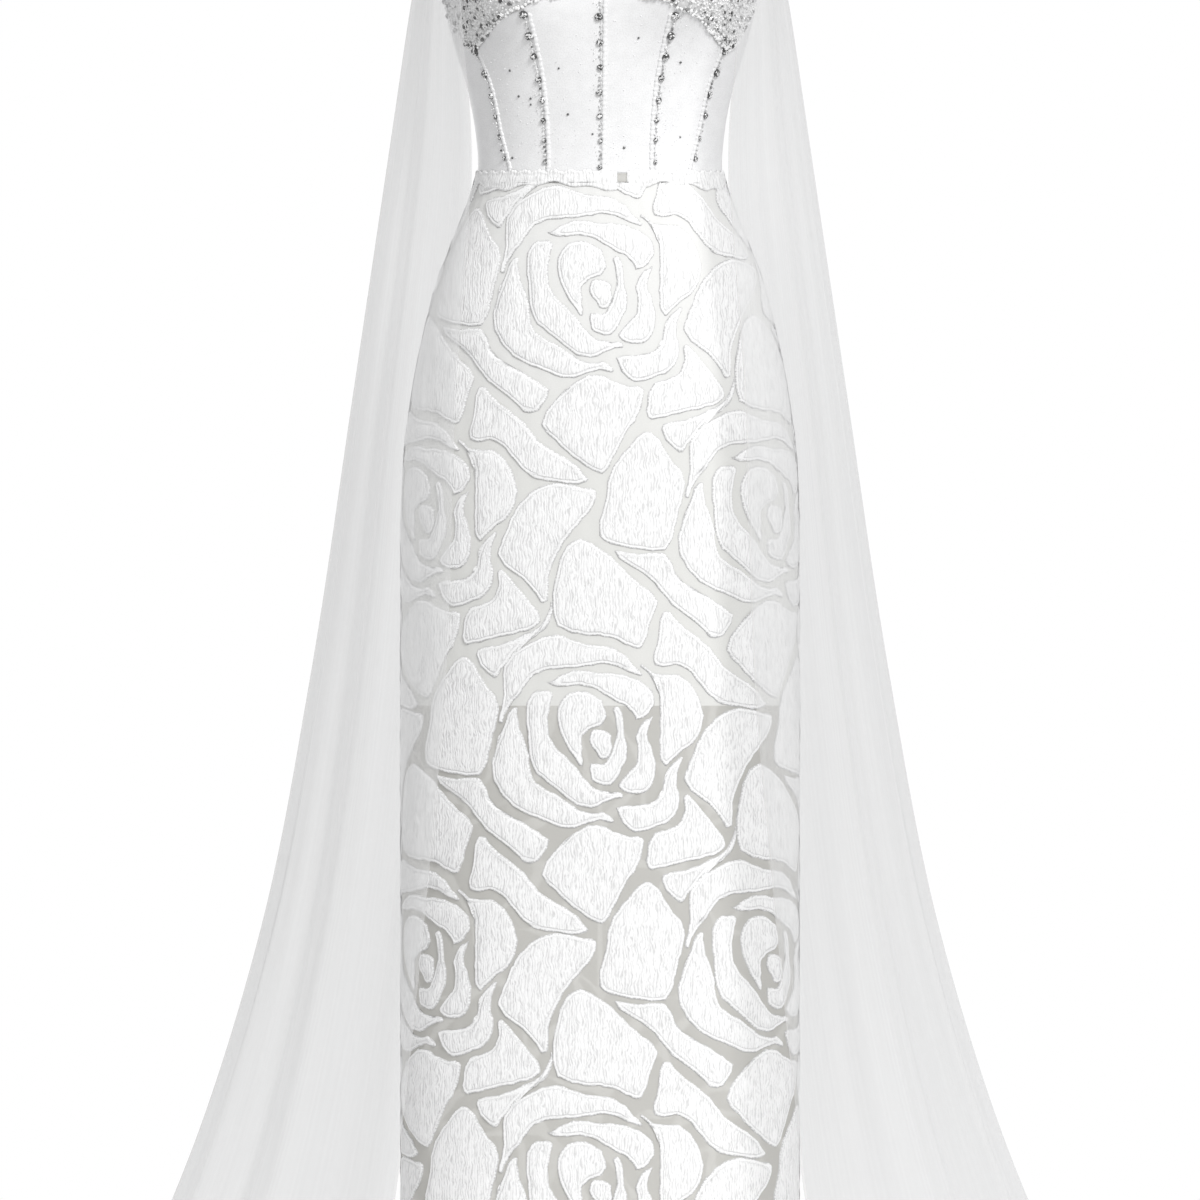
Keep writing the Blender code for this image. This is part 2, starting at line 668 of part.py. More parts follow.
def make_skirt_panel(name, cloth, low_angle, high_angle, cols, margins):
    """A skirt panel: petals raised in the outer points, a plain inside, and rims that join the two."""
    heights = SKIRT_ROWS
    half_gap = angle_of(SEAM_GAP / 2, 0.0)
    left, right = low_angle + half_gap, high_angle - half_gap
    border = border_of(left, right, HEM, heights[-1], cols, heights)
    edge = 0.005
    box = (left + margins[0], right - margins[1], HEM + edge, heights[-1] - edge)
    petals, hollows = rose_relief(cloth, box)
    petals = [evened(petal) for petal in petals]
    flat_lines = []
    for side, margin in ((left, margins[0]), (right, -margins[1])):
        if abs(margin) > PLACKET_MARGIN:
            line = side + math.copysign(PLACKET_MARGIN, margin)
            flat_lines.append([(line, h) for h in (*SKIRT_ROWS[1:-1], -edge / 2)])
    grid = [(a, h) for a in np.linspace(left, right, cols + 1)[1:-1] for h in SKIRT_ROWS[1:-1]]
    spans = [point for point in grid if far_from(point, petals, hollows)]
    crowns = [point for point in spans if any(inside(point, petal) for petal in petals)]
    hollows += [point for point in spans if point not in crowns]
    where, faces, lifted, loop = triangulated(border, petals, flat_lines, hollows, crowns)
    for _ in range(SINK_ROUNDS):
        hollows += sunk_edges(where, faces, lifted, loop)
        where, faces, lifted, loop = triangulated(border, petals, flat_lines, hollows, crowns)
    outer = body(where[:, 0], where[:, 1], np.where(lifted, PETAL_RISE, 0.0))
    inner_where, inner_faces, _, inner_loop = triangulated(border, [], [], grid, [])
    inner = body(inner_where[:, 0], inner_where[:, 1], -SKIRT_WALL)
    start = len(outer)
    all_faces = list(faces)
    all_faces += [tuple(start + i for i in face[::-1]) for face in inner_faces]
    for i in range(len(loop)):
        j = (i + 1) % len(loop)
        all_faces.append((loop[j], loop[i], start + inner_loop[i], start + inner_loop[j]))
    add_mesh(name, np.concatenate([outer, inner]), all_faces, "rose_cloth")


def make_skirt():
    cloth = Cloth()
    seam, centre_back = 1.2, PLACKET_MARGIN + 0.9
    make_skirt_panel("skirt_front", cloth, -90, 90, 20, (seam, seam))
    make_skirt_panel("skirt_back_left", cloth, 90, 180, 10, (seam, centre_back))
    make_skirt_panel("skirt_back_right", cloth, -180, -90, 10, (centre_back, seam))


def make_lining():
    """A short straight lining that hangs inside the skirt from the waist seam."""
    heights = np.array([LINING_HEM] + [h for h in SKIRT_ROWS if h > LINING_HEM + 0.05])
    out = -SKIRT_WALL - SEAM_GAP
    gap = angle_of(SEAM_GAP / 2, 0.0)
    for name, low, high in (("lining_front", -90 + gap, 90 - gap), ("lining_back", 90 + gap, 270 - gap)):
        angles, tall = np.meshgrid(np.linspace(low, high, LINING_STEPS + 1), heights)
        add_wall(name, body(angles, tall, out), body(angles, tall, out - LINING_WALL), "lining")


def strap_ends(side):
    """Where a line of the strap, this far from its middle, meets the cup's edge and the back's edge."""
    front_angle = STRAP_FRONT_ANGLE + math.degrees(side / 0.13)
    back_angle = STRAP_BACK_ANGLE - math.degrees(side / 0.12)
    front_height = float(smooth_table(NECKLINE, 1, front_angle)) + SEAM_GAP
    back_height = float(smooth_table(BACK_EDGE, 1, back_angle)) + SEAM_GAP
    return body(front_angle, front_height, -STRAP_WALL / 2), body(back_angle, back_height, -STRAP_WALL / 2)


def strap_line(side, turn, end):
    """A point of that line: a quarter oval from its foot, at turn 0, to the top of the shoulder, at 90 degrees."""
    x, y, z = strap_ends(side)[end]
    top = STRAP_SHOULDER_X + side
    return x + (top - x) * math.sin(turn) ** 2, y * math.cos(turn), z + (SHOULDER - z) * math.sin(turn)


def strap_grid():
    """Middle surface of the wearer's left strap: up the front, over the shoulder and down the back."""
    rows, cols = 17, 3
    grid = np.empty((rows, cols, 3))
    for c in range(cols):
        side = (c / (cols - 1) - 0.5) * STRAP_WIDTH
        for r in range(rows):
            turn = math.pi * r / (rows - 1)
            grid[r, c] = strap_line(side, min(turn, math.pi - turn), int(turn > math.pi / 2))
    return grid


def make_straps():
    outer, inner = thick(strap_grid(), STRAP_WALL)
    add_pair("strap", outer, inner, "satin")


def tulle_grid():
    """Middle surface of the wearer's left tulle panel: at each height two quarter ovals from the front edge to the
    outermost line and on to the back edge, with folds that deepen towards the hem and never stand past that line."""
    table = TULLE[::-1]
    heights = np.array([row[0] for row in table])
    share = np.linspace(0, 1, TULLE_STEPS + 1)
    grid = np.empty((len(heights), len(share), 3))
    for r, height in enumerate(heights):
        _, front_x, front_y, side_x, side_y, back_x, back_y, depth = table[r]
        turn = share * np.pi
        in_front = share <= 0.5
        base_x = np.where(in_front, front_x, back_x)
        reach_y = np.where(in_front, side_y - front_y, back_y - side_y)
        drift = FOLD_DRIFT * (np.sin(5.0 * (share - 0.5)) + 0.6 * np.sin(11.0 * (share - 0.5)))
        fold = depth * (np.cos(2 * np.pi * TULLE_FOLDS * (share - 0.5) + 2 * drift) - 1)
        x = base_x + (side_x - base_x) * np.sin(turn) + fold * np.sin(turn)
        y = side_y - (reach_y + fold) * np.cos(turn)
        grid[r] = np.stack([x, y, np.full_like(x, height)], axis=-1)
    for c, y in enumerate(grid[-1, :, 1]):
        end = int(y > 0)
        turn = math.acos(y / strap_ends(STRAP_WIDTH / 2)[end][1])
        x, _, z = strap_line(STRAP_WIDTH / 2, turn, end)
        grid[-1, c] = x + SEAM_GAP + TULLE_WALL / 2, y, z + STRAP_WALL / 2
    return grid


def make_tulle():
    outer, inner = thick(tulle_grid(), TULLE_WALL)
    add_pair("tulle", outer, inner, "tulle")


def box_mesh(mesh, low, high):
    """Adds a box to a bmesh."""
    made = bmesh.ops.create_cube(mesh, size=1.0)["verts"]
    for vert in made:
        vert.co = [lo + (hi - lo) * (c + 0.5) for lo, hi, c in zip(low, high, vert.co)]


def helper(name, mesh):
    """An object that only cuts or joins, left out of the gown."""
    data = bpy.data.meshes.new(name)
    mesh.to_mesh(data)
    mesh.free()
    piece = bpy.data.objects.new(name, data)
    bpy.context.collection.objects.link(piece)
    piece.hide_render = True
    piece.display_type = "WIRE"
    return piece


def rod(name, radius, length, centre, sides=12):
    """A round rod along X, as a helper."""
    mesh = bmesh.new()
    bmesh.ops.create_cone(mesh, cap_ends=True, segments=sides, radius1=radius, radius2=radius, depth=length)
    for vert in mesh.verts:
        vert.co = (vert.co.z + centre[0], vert.co.x + centre[1], vert.co.y + centre[2])
    bmesh.ops.recalc_face_normals(mesh, faces=mesh.faces)
    return helper(name, mesh)


def boolean(piece, tool, operation):
    change = piece.modifiers.new(operation.lower() + "_" + tool.name, "BOOLEAN")
    change.operation = operation
    change.object = tool


def make_zip():
    """Placket strip over the concealed zip, a slider with two ears and a pin, and a tab that swings on the pin."""
    half = math.degrees(PLACKET_WIDTH / 2 / 0.086)
    rows = [h for h in SKIRT_ROWS if h >= ZIP_FOOT]
    rows += list(np.linspace(SEAM_GAP / 2, BACK_TOP - SEAM_GAP / 2, BACK_ROWS)[:-1]) + [BACK_TOP - 0.002]
    angles, heights = np.meshgrid(np.linspace(180 - half, 180 + half, 3), rows)
    low = SEAM_GAP
    add_wall("zip_placket", body(angles, heights, low + PLACKET_WALL), body(angles, heights, low), "satin")

    size_x, size_y, size_z = SLIDER_SIZE
    foot = SLIDER_HEIGHT - size_z / 2
    face = float(body(180, SLIDER_HEIGHT + size_z / 2)[1]) + SEAM_GAP + PLACKET_WALL
    back = face + SEAM_GAP
    pin = (0.0, back + size_y + LOOP_RADIUS + SEAM_GAP, SLIDER_HEIGHT + size_z / 2 - EAR_RADIUS - 0.0005)
    mesh = bmesh.new()
    box_mesh(mesh, (-size_x / 2, back, foot), (size_x / 2, back + size_y, foot + size_z))
    slider = add_object("zip_slider", bpy.data.meshes.new("zip_slider"), "zip_metal")
    mesh.to_mesh(slider.data)
    mesh.free()
    for side in (-1, 1):
        near, far = EAR_GAP / 2, EAR_GAP / 2 + EAR_WIDTH
        low_x, high_x = sorted((side * near, side * far))
        ear = bmesh.new()
        low_corner = (low_x, back + size_y / 2, pin[2] - EAR_RADIUS)
        box_mesh(ear, low_corner, (high_x, pin[1] + EAR_RADIUS, pin[2] + EAR_RADIUS))
        boolean(slider, helper("ear_tool_" + ("b" if side > 0 else "a"), ear), "UNION")
    boolean(slider, rod("pin_tool", PIN_RADIUS, EAR_GAP + EAR_WIDTH, pin), "UNION")

    tab = add_object("zip_pull_tab", bpy.data.meshes.new("zip_pull_tab"), "zip_metal")
    outline = (
        # distance below the pin, half width
        (0.0008, LOOP_WIDTH / 2),
        (0.0042, LOOP_WIDTH / 2),
        (0.0090, TAB_WIDTH * 0.32),
        (0.0130, TAB_WIDTH * 0.5),
        (0.0155, TAB_WIDTH * 0.42),
        (TAB_LENGTH, TAB_WIDTH * 0.16),
    )
    plate = bmesh.new()
    rings = []
    for y in (pin[1] + TAB_THICKNESS / 2, pin[1] - TAB_THICKNESS / 2):
        right = [plate.verts.new((w, y, pin[2] - d)) for d, w in outline]
        left = [plate.verts.new((-w, y, pin[2] - d)) for d, w in reversed(outline)]
        rings.append(right + left)
    plate.faces.new(rings[0])
    plate.faces.new(rings[1][::-1])
    for i in range(len(rings[0])):
        j = (i + 1) % len(rings[0])
        plate.faces.new((rings[0][j], rings[0][i], rings[1][i], rings[1][j]))
    bmesh.ops.recalc_face_normals(plate, faces=plate.faces)
    plate.to_mesh(tab.data)
    plate.free()
    boolean(tab, rod("loop_tool", LOOP_RADIUS, LOOP_WIDTH, pin), "UNION")
    boolean(tab, rod("hole_tool", LOOP_HOLE, LOOP_WIDTH * 2, pin), "DIFFERENCE")


def main():
    clear_scene()
    edge = make_bodice()
    make_cups(edge)
    make_seam_beading()
    make_skirt()
    make_lining()
    make_straps()
    make_tulle()
    make_zip()


main()
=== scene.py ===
"""Looks of a worn sheath gown: corset bodice with beaded seams, encrusted cups, rose cloth skirt over a
short lining, and a sheer tulle panel from each shoulder. Metres, +Z up, front towards -Y, origin at the
centre of the waist seam. Angles run round the body in degrees from the centre front, 90 at the wearer's
left side (+X)."""

import math

import bpy
import numpy as np
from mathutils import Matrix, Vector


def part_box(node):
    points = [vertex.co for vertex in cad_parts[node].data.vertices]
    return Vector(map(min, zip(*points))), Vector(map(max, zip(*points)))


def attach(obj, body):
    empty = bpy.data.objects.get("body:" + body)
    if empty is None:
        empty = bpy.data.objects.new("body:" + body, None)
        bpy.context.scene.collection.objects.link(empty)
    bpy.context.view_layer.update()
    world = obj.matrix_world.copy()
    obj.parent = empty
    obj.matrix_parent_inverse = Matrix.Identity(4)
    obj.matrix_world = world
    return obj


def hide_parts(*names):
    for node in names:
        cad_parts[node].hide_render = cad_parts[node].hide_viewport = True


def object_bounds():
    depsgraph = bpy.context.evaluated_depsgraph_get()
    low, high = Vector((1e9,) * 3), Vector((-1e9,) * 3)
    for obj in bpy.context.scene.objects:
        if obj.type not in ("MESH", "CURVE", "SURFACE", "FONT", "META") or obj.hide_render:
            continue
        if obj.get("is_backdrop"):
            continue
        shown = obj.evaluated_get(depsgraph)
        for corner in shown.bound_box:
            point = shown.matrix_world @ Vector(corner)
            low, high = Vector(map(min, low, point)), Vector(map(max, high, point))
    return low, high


bl_info = {
    "name": "Sheath gown",
    "version": (1, 0, 0),
    "blender": (4, 5, 0),
    "location": "3D View > Sidebar > Gown",
    "description": "Dresses the packed gown: cloth, petals, beading, tulle, zip and studio",
    "category": "Object",
}

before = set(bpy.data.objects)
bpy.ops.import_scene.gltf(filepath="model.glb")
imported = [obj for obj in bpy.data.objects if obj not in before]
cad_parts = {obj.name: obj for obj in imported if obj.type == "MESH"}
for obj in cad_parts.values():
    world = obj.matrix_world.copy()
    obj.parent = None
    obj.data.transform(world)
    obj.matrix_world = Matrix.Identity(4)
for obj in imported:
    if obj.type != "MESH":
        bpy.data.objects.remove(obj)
CAD_LOW, CAD_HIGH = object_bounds()
BODY = "gown"

HEM = float(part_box("skirt_front")[0][2])
LINING_HEM = float(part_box("lining_front")[0][2])
# Height of the shoulder's top over the waist
SHOULDER = 0.400

# The body that the gown is cut for: smooth sections, lowest first
SECTIONS = (
    # height, half_width, front_depth, back_depth
    (-1.080, 0.1900, 0.108, 0.112),
    (-0.700, 0.1900, 0.108, 0.113),
    (-0.400, 0.1900, 0.108, 0.114),
    (-0.300, 0.1890, 0.108, 0.116),
    (-0.260, 0.1865, 0.108, 0.117),
    (-0.220, 0.1810, 0.107, 0.117),
    (-0.170, 0.1720, 0.105, 0.115),
    (-0.135, 0.1640, 0.102, 0.111),
    (-0.100, 0.1545, 0.099, 0.106),
    (-0.065, 0.1410, 0.095, 0.099),
    (-0.030, 0.1270, 0.089, 0.091),
    (0.000, 0.1180, 0.084, 0.086),
    (0.040, 0.1195, 0.085, 0.087),
    (0.080, 0.1270, 0.090, 0.090),
    (0.125, 0.1405, 0.097, 0.094),
    (0.168, 0.1510, 0.104, 0.098),
    (0.215, 0.1570, 0.106, 0.100),
    (0.260, 0.1580, 0.104, 0.100),
)
BUST_RISE = 0.026
BUST_ANGLE, BUST_SPREAD = 33.0, 17.0
BUST_HEIGHT, BUST_TALL = 0.180, 0.050

CUP_EDGE = (
    # angle, height of the cup's lower edge
    (0, 0.200),
    (8, 0.180),
    (14, 0.168),
    (20, 0.166),
    (28, 0.155),
    (34, 0.149),
    (42, 0.138),
    (52, 0.125),
    (59, 0.119),
    (66, 0.123),
    (73, 0.140),
    (79, 0.163),
    (83, 0.205),
)
NECKLINE = (
    # angle, height of the cup's upper edge
    (0, 0.214),
    (12, 0.228),
    (25, 0.246),
    (38, 0.256),
    (50, 0.257),
    (60, 0.250),
    (72, 0.234),
    (83, 0.216),
)
BACK_EDGE = (
    # angle, height of the bodice's upper edge behind the cups
    (83, 0.205),
    (90, 0.209),
    (110, 0.203),
    (140, 0.194),
    (180, 0.190),
)
CUP_END = 82.3
BACK_TOP = 0.190

# Seams of the corset: where each lies at a height
INNER_SEAM = ((0.0, 26.5), (0.16, 26.5))
OUTER_SEAM = ((0.0, 48.0), (0.04, 54.0), (0.086, 56.0), (0.12, 59.0))
SIDE_SEAM = ((0.0, 90.0), (0.2, 90.0))
BACK_SEAM = ((0.0, 136.0), (0.2, 132.0))
CENTRE_FRONT = ((0.0, 0.0), (0.2, 0.0))
CENTRE_BACK = ((0.0, 180.0), (0.2, 180.0))
CORSET_PANELS = (
    # name, seam before, seam after, columns, rows
    ("bodice_front_centre", CENTRE_FRONT, INNER_SEAM, 40, 90),
    ("bodice_front_side", INNER_SEAM, OUTER_SEAM, 40, 80),
    ("bodice_side", OUTER_SEAM, SIDE_SEAM, 50, 90),
    ("bodice_back_side", SIDE_SEAM, BACK_SEAM, 50, 80),
    ("bodice_back_centre", BACK_SEAM, CENTRE_BACK, 50, 80),
)
# A panel's top is sought from the first height in so many rounds
FIRST_TOP, TOP_ROUNDS = 0.15, 40
# A panel sinks into its seams, and the stitches pull small folds that fade away from them
SEAM_SINK, SEAM_WIDTH = 0.0003, 0.0012
FOLD_DEPTH, FOLD_LENGTH, FOLD_FADE = 0.0001, 0.011, 0.006
CORSET_WALL, CUP_WALL, STRAP_WALL, LINING_WALL = 0.0016, 0.0024, 0.0018, 0.0005

# The rose cloth: a half-drop repeat of roses, each a bud with rings of petals round it
# Distance between columns, repeat up a column, and height of the first rose
ROSE_COLUMN = 0.180
ROSE_REPEAT = 0.430
ROSE_TOP = -0.110
CHANNEL_NARROW, CHANNEL_WIDE = 0.0034, 0.0112
ROSE_RINGS = (
    # outer radius (the last ring fills the cell), first cut, slant of the cuts, shares of the petals
    (0.0125, 0, 0, (1,)),
    (0.0380, 200, 24, (5, 3.4)),
    (0.0670, 120, 22, (4.6, 2.2, 3.8)),
    (0.1010, 62, 16, (3.4, 4, 2.3, 3.2)),
    (0.0000, 72, -8, (44, 40, 44, 50, 48, 34, 48, 52)),
)
WARP = (
    # reach, waves across two columns, waves up one repeat, start
    (0.0088, 1, 3, 2.2),
    (0.0050, -3, 1, 3.2),
    (0.0034, 5, -3, 3.0),
    (0.0009, 10, 6, 1.0),
)
BUD_WIDE, BUD_TALL = 1.12, 0.72
PETAL_GAP, GAP_SWING = 0.0026, 0.0012
# A petal's outline: points round it, how far its corners are rounded, and the small waves of its edge
LOOP_POINTS = 240
SIDE_POINTS = 81
ROUNDING, MOST_ROUNDING = 0.034, 0.0100
WAVE_LENGTH, WAVE_REACH = 0.017, 0.0005
SWAY_LENGTH, SWAY_REACH = 0.062, 0.0015
PETAL_STEP = 0.006
# Height that the petals reach, under the strip at the waist seam
PETAL_TOP = -0.0085
# Heights between which the lining goes from hanging loose to lying close under the ground
LOOSE_LINING, CLOSE_LINING = -0.33, -0.12
# The lining's hem shows through the ground as an edge this soft
LINING_BLUR = 0.0004
# The lining: how far inside the body it hangs at the waist and how much more at its hem, the reach of its
# waves, and its turned hem's thickness and height
LINING_IN, LINING_LOOSE, LINING_SWAY = 0.0030, 0.0014, 0.0012
LINING_BAND, LINING_TURN = 0.0006, 0.02
# Petal's cross-section from its edge inwards: a smooth border, a sunk line of stitching, then the field
PETAL_PROFILE = (
    # distance from the edge, rise over the ground
    (0.0000, 0.0001),
    (0.0006, 0.0009),
    (0.0014, 0.0014),
    (0.0026, 0.0013),
    (0.0033, 0.0007),
    (0.0042, 0.0012),
    (0.0062, 0.0015),
)
# Low swelling of the petals' field
PUFF = 0.0006
SKIRT_PANELS = (
    # node, first and last angle, columns
    ("skirt_front", -90, 90, 160),
    ("skirt_back_left", 90, 180, 80),
    ("skirt_back_right", -180, -90, 80),
)
# Degrees that the petals keep clear of a panel's edges, and metres that they keep clear of the hem
BACK_GAP, SIDE_GAP = 0.7, 0.45
HEM_GAP = 0.004
# Pieces of petals under these degrees, metres and square metres are dropped
LEAST_ANGLE, LEAST_HEIGHT, LEAST_QUAD = 0.2, 0.002, 2e-8
# The ground: metres along it for a degree round the body, its waves, and its sink into the seams
METRES_A_DEGREE = 0.0026
GROUND_RIPPLE, GROUND_SINK = 0.0002, 0.0005
# Where the petal cloth covers the waist seam: all round but for a small notch in front and the zip behind
WAIST_STRIPS = ((-176.5, 8.0), (12.5, 176.5))
# The strip: radius of the waist, rise over the petals, and what is added to the distance from its edge
WAIST_RADIUS = 0.102
STRIP_LIFT, STRIP_BORDER = 0.0004, 0.0042
STRIP_ROWS = (0, 0.05, 0.1, 0.2, 0.26, 0.33, 0.5, 0.67, 0.74, 0.8, 0.9, 0.95, 1)
HEM_PROFILE = (
    # distance out of the body, height over the hem
    (-0.0006, 0.0010),
    (0.0009, 0.0012),
    (0.0013, 0.0040),
    (0.0013, 0.0100),
    (0.0009, 0.0122),
    (0.0001, 0.0125),
)

# Tulle panel on the wearer's left: front edge, outermost line and back edge at each height
TULLE = (
    # height, front_x, front_y, side_x, side_y, back_x, back_y, fold depth
    (-1.080, 0.2120, -0.166, 0.4520, 0.0, 0.2120, 0.310, 0.0110),
    (-0.910, 0.1885, -0.154, 0.3830, 0.0, 0.1885, 0.268, 0.0095),
    (-0.720, 0.1680, -0.144, 0.3250, 0.0, 0.1680, 0.226, 0.0080),
    (-0.480, 0.1470, -0.135, 0.2780, 0.0, 0.1470, 0.182, 0.0060),
    (-0.216, 0.1380, -0.124, 0.2380, 0.0, 0.1380, 0.142, 0.0042),
    (0.040, 0.1245, -0.106, 0.2000, 0.0, 0.1245, 0.100, 0.0026),
    (0.168, 0.1340, -0.104, 0.1810, 0.0, 0.1340, 0.082, 0.0018),
    (0.290, 0.1360, -0.078, 0.1590, 0.0, 0.1360, 0.058, 0.0010),
    (0.400, 0.1378, -0.030, 0.1378, 0.0, 0.1378, 0.026, 0.0000),
)
# Broad folds and their drift, how calm and wide the side is, and finer folds with their share
TULLE_FOLDS = 6
FOLD_DRIFT = 0.45
TULLE_SIDE_CALM, TULLE_SIDE_WIDTH = 0.85, 0.14
FINE_FOLDS, FINE_SHARE = 17, 0.22

STRAP_FRONT_ANGLE, STRAP_BACK_ANGLE = 45.0, 133.0
STRAP_WIDTH = 0.014
STRAP_SHOULDER_X = 0.1300
# How far the strap's ends sink in, and radii that turn metres across it into degrees
STRAP_SINK = 0.001
CHEST_RADIUS, BACK_RADIUS = 0.13, 0.12

# Placket over the zip
ZIP_FOOT = -0.200
PLACKET_HALF, PLACKET_RADIUS = 0.0045, 0.086

# Stones along a seam: seam, how many, lowest and highest, and the side their piping lies on
STONE_ROWS = (
    # name, seam, stones, foot, head, piping side
    ("centre", CENTRE_FRONT, 9, 0.006, 0.196, 1),
    ("inner", INNER_SEAM, 8, 0.011, 0.150, -1),
    ("outer", OUTER_SEAM, 6, 0.014, 0.117, -1),
)
PIPING_HALF, PIPING_RISE = 0.0020, 0.0011
# Room that the piping leaves for a stone at the waist, and how much more it leaves a metre up
PIPING_ASIDE, PIPING_SPREAD = 0.0021, 0.009
CORD_SIDES = 12
# Small shapes of radius 1: rings of fewer than this across are poles
POLE = 1e-6
STONE_PROFILE = (
    # radius, height: table's middle and edge, crown, girdle, setting
    (0.0, 0.62),
    (0.52, 0.60),
    (0.84, 0.36),
    (1.0, 0.0),
    (0.92, -0.35),
)
STONE_SIDES = 8
BEAD_SIDES, BEAD_BELTS = 7, 4
SEQUIN_SIDES = 6
# Heights over the cloth, and least and greatest radius of seeds and of specks
STONE_LIFT, SEED_LIFT = 0.0010, 0.0009
SEED_SIZE, SPECK_SIZE = (0.0008, 0.0013), (0.0003, 0.0006)
# Between two stones seed beads lie at these shares, and beside each stone so many specks
SEED_SHARES = (0.32, 0.50, 0.68)
SPECKS = 7
LOOSE_BEADS, DARK_BEADS = 280, 14
# A cup's width and height, the swell and ripple of its net, and the beads along its lower edge
CUP_WIDE, CUP_TALL = 0.175, 0.115
CUP_SWELL, CUP_RIPPLE = 0.0020, 0.0003
BORDER_BEADS = 74
# How far the lattices on the cups are shaken, as a share of their step
SHAKE = 0.38
CUP_LAYERS = (
    # name, step, least and greatest radius, lift off the net, tilt, finish
    ("crust", 0.0031, 0.0008, 0.0014, 0.0021, 0.0, "silver bead"),
    ("sequins", 0.0075, 0.0013, 0.0020, 0.0028, 0.5, "silver bead"),
    ("stones", 0.0122, 0.0022, 0.0032, 0.0028, 0.10, "foiled crystal"),
)
# Share of dark ones among the cups' beads and sequins
DARK_SHARE = 0.12
# Share of facets painted dark as reflections on a stone's table, crown, girdle and setting; the rest are
# painted glints
SEAM_STONE_REFLECTIONS = (0.45, 0.62, 0.85, 1.00)
CUP_STONE_REFLECTIONS = (1.00, 0.75, 0.20, 0.40)

# Studio: the photograph's side and the waist's row in pixels, a pixel's real size, and the camera
PHOTO_SIZE, WAIST_PIXEL, PIXEL = 1200, 175, 0.00096
CAMERA_DISTANCE, SENSOR = 20.0, 36
WHITE = (1, 1, 1, 1)
LAMPS = (
    # name, place, size, share of the key's strength
    ("key", (2.4, -3.9, 3.4), 1.6, 1.0),
    ("fill", (-2.6, -2.4, -0.8), 2.0, 0.03),
    ("back", (-1.2, 4.2, 0.2), 2.0, 0.20),
)
LAMP_AIM = (0.0, 0.0, -0.35)
FLOOR_RADIUS, FLOOR_BACK, FLOOR_DROP = 0.85, 0.05, 0.0005
FLOOR_RINGS, FLOOR_SIDES = 12, 96


class GownSettings(bpy.types.PropertyGroup):
    """Sizes and colours of the gown that a user would change."""

    satin: bpy.props.FloatVectorProperty(
        name="Satin", description="Colour of the corset",
        subtype="COLOR", default=(0.90, 0.90, 0.905), min=0, max=1,
    )
    petal: bpy.props.FloatVectorProperty(
        name="Petals", description="Colour of the raised petals",
        subtype="COLOR", default=(0.93, 0.93, 0.93), min=0, max=1,
    )
    ground: bpy.props.FloatVectorProperty(
        name="Ground", description="Colour of the sheer channels",
        subtype="COLOR", default=(0.71, 0.70, 0.665), min=0, max=1,
    )
    ground_backed: bpy.props.FloatVectorProperty(
        name="Backed ground", description="Colour of the channels where the lining whitens them",
        subtype="COLOR", default=(0.84, 0.84, 0.815), min=0, max=1,
    )
    ground_close: bpy.props.FloatVectorProperty(
        name="Ground at the hips", description="Colour of the channels where the lining lies close under",
        subtype="COLOR", default=(0.90, 0.90, 0.885), min=0, max=1,
    )
    ground_cover: bpy.props.FloatProperty(
        name="Ground cover", description="How much the sheer ground hides", default=0.74, min=0.05, max=1
    )
    tulle_cover: bpy.props.FloatProperty(
        name="Tulle cover", description="How much one layer of tulle hides", default=0.42, min=0.05, max=0.95
    )
    crinkle: bpy.props.FloatProperty(
        name="Crinkle", description="Depth of the petals' crinkles", default=0.0005, min=0, unit="LENGTH"
    )
    stone_low: bpy.props.FloatProperty(
        name="Lowest stone", description="Radius of the stones at the waist",
        default=0.0024, min=0.001, unit="LENGTH",
    )
    stone_high: bpy.props.FloatProperty(
        name="Highest stone", description="Radius of the stones under the cups",
        default=0.0045, min=0.001, unit="LENGTH",
    )
    key_light: bpy.props.FloatProperty(
        name="Key light", description="Strength of the key light", default=235.0, min=0, unit="POWER"
    )
    room_light: bpy.props.FloatProperty(
        name="Room light", description="Strength of the room", default=0.60, min=0
    )


def smooth_table(table, column, at):
    """Smooth curve through one column of a table: a cubic between rows, its slope the neighbours' mean."""
    rows = sorted(table)
    keys = np.array([row[0] for row in rows], float)
    values = np.array([row[column] for row in rows], float)
    slopes = np.gradient(values, keys)
    at = np.clip(np.asarray(at, float), keys[0], keys[-1])
    i = np.clip(np.searchsorted(keys, at) - 1, 0, len(keys) - 2)
    step = keys[i + 1] - keys[i]
    t = (at - keys[i]) / step
    start = (2 * t**3 - 3 * t**2 + 1) * values[i] + (t**3 - 2 * t**2 + t) * step * slopes[i]
    end = (3 * t**2 - 2 * t**3) * values[i + 1] + (t**3 - t**2) * step * slopes[i + 1]
    return start + end


def body(angle, height, out=0.0):
    """A point of the worn shape: an oval section with its own front and back depth, the bust raised, moved
    out."""
    angle, height = np.broadcast_arrays(np.asarray(angle, float), np.asarray(height, float))
    turn = np.radians(angle)
    round_bust = np.exp(-(((np.abs(angle) - BUST_ANGLE) / BUST_SPREAD) ** 2))
    tall_bust = np.exp(-(((height - BUST_HEIGHT) / BUST_TALL) ** 2))
    out = out + BUST_RISE * round_bust * tall_bust
    wide = smooth_table(SECTIONS, 1, height)
    deep = np.where(np.cos(turn) >= 0, smooth_table(SECTIONS, 2, height), smooth_table(SECTIONS, 3, height))
    return np.stack([(wide + out) * np.sin(turn), -(deep + out) * np.cos(turn), height], axis=-1)


def frame_on(place, across, up):
    """Unit directions on a surface, given nearby points to one side and above: along, up and outwards."""
    along = across - place
    along /= np.linalg.norm(along, axis=-1, keepdims=True)
    outward = np.cross(along, up - place)
    outward /= np.linalg.norm(outward, axis=-1, keepdims=True)
    return along, np.cross(outward, along), outward


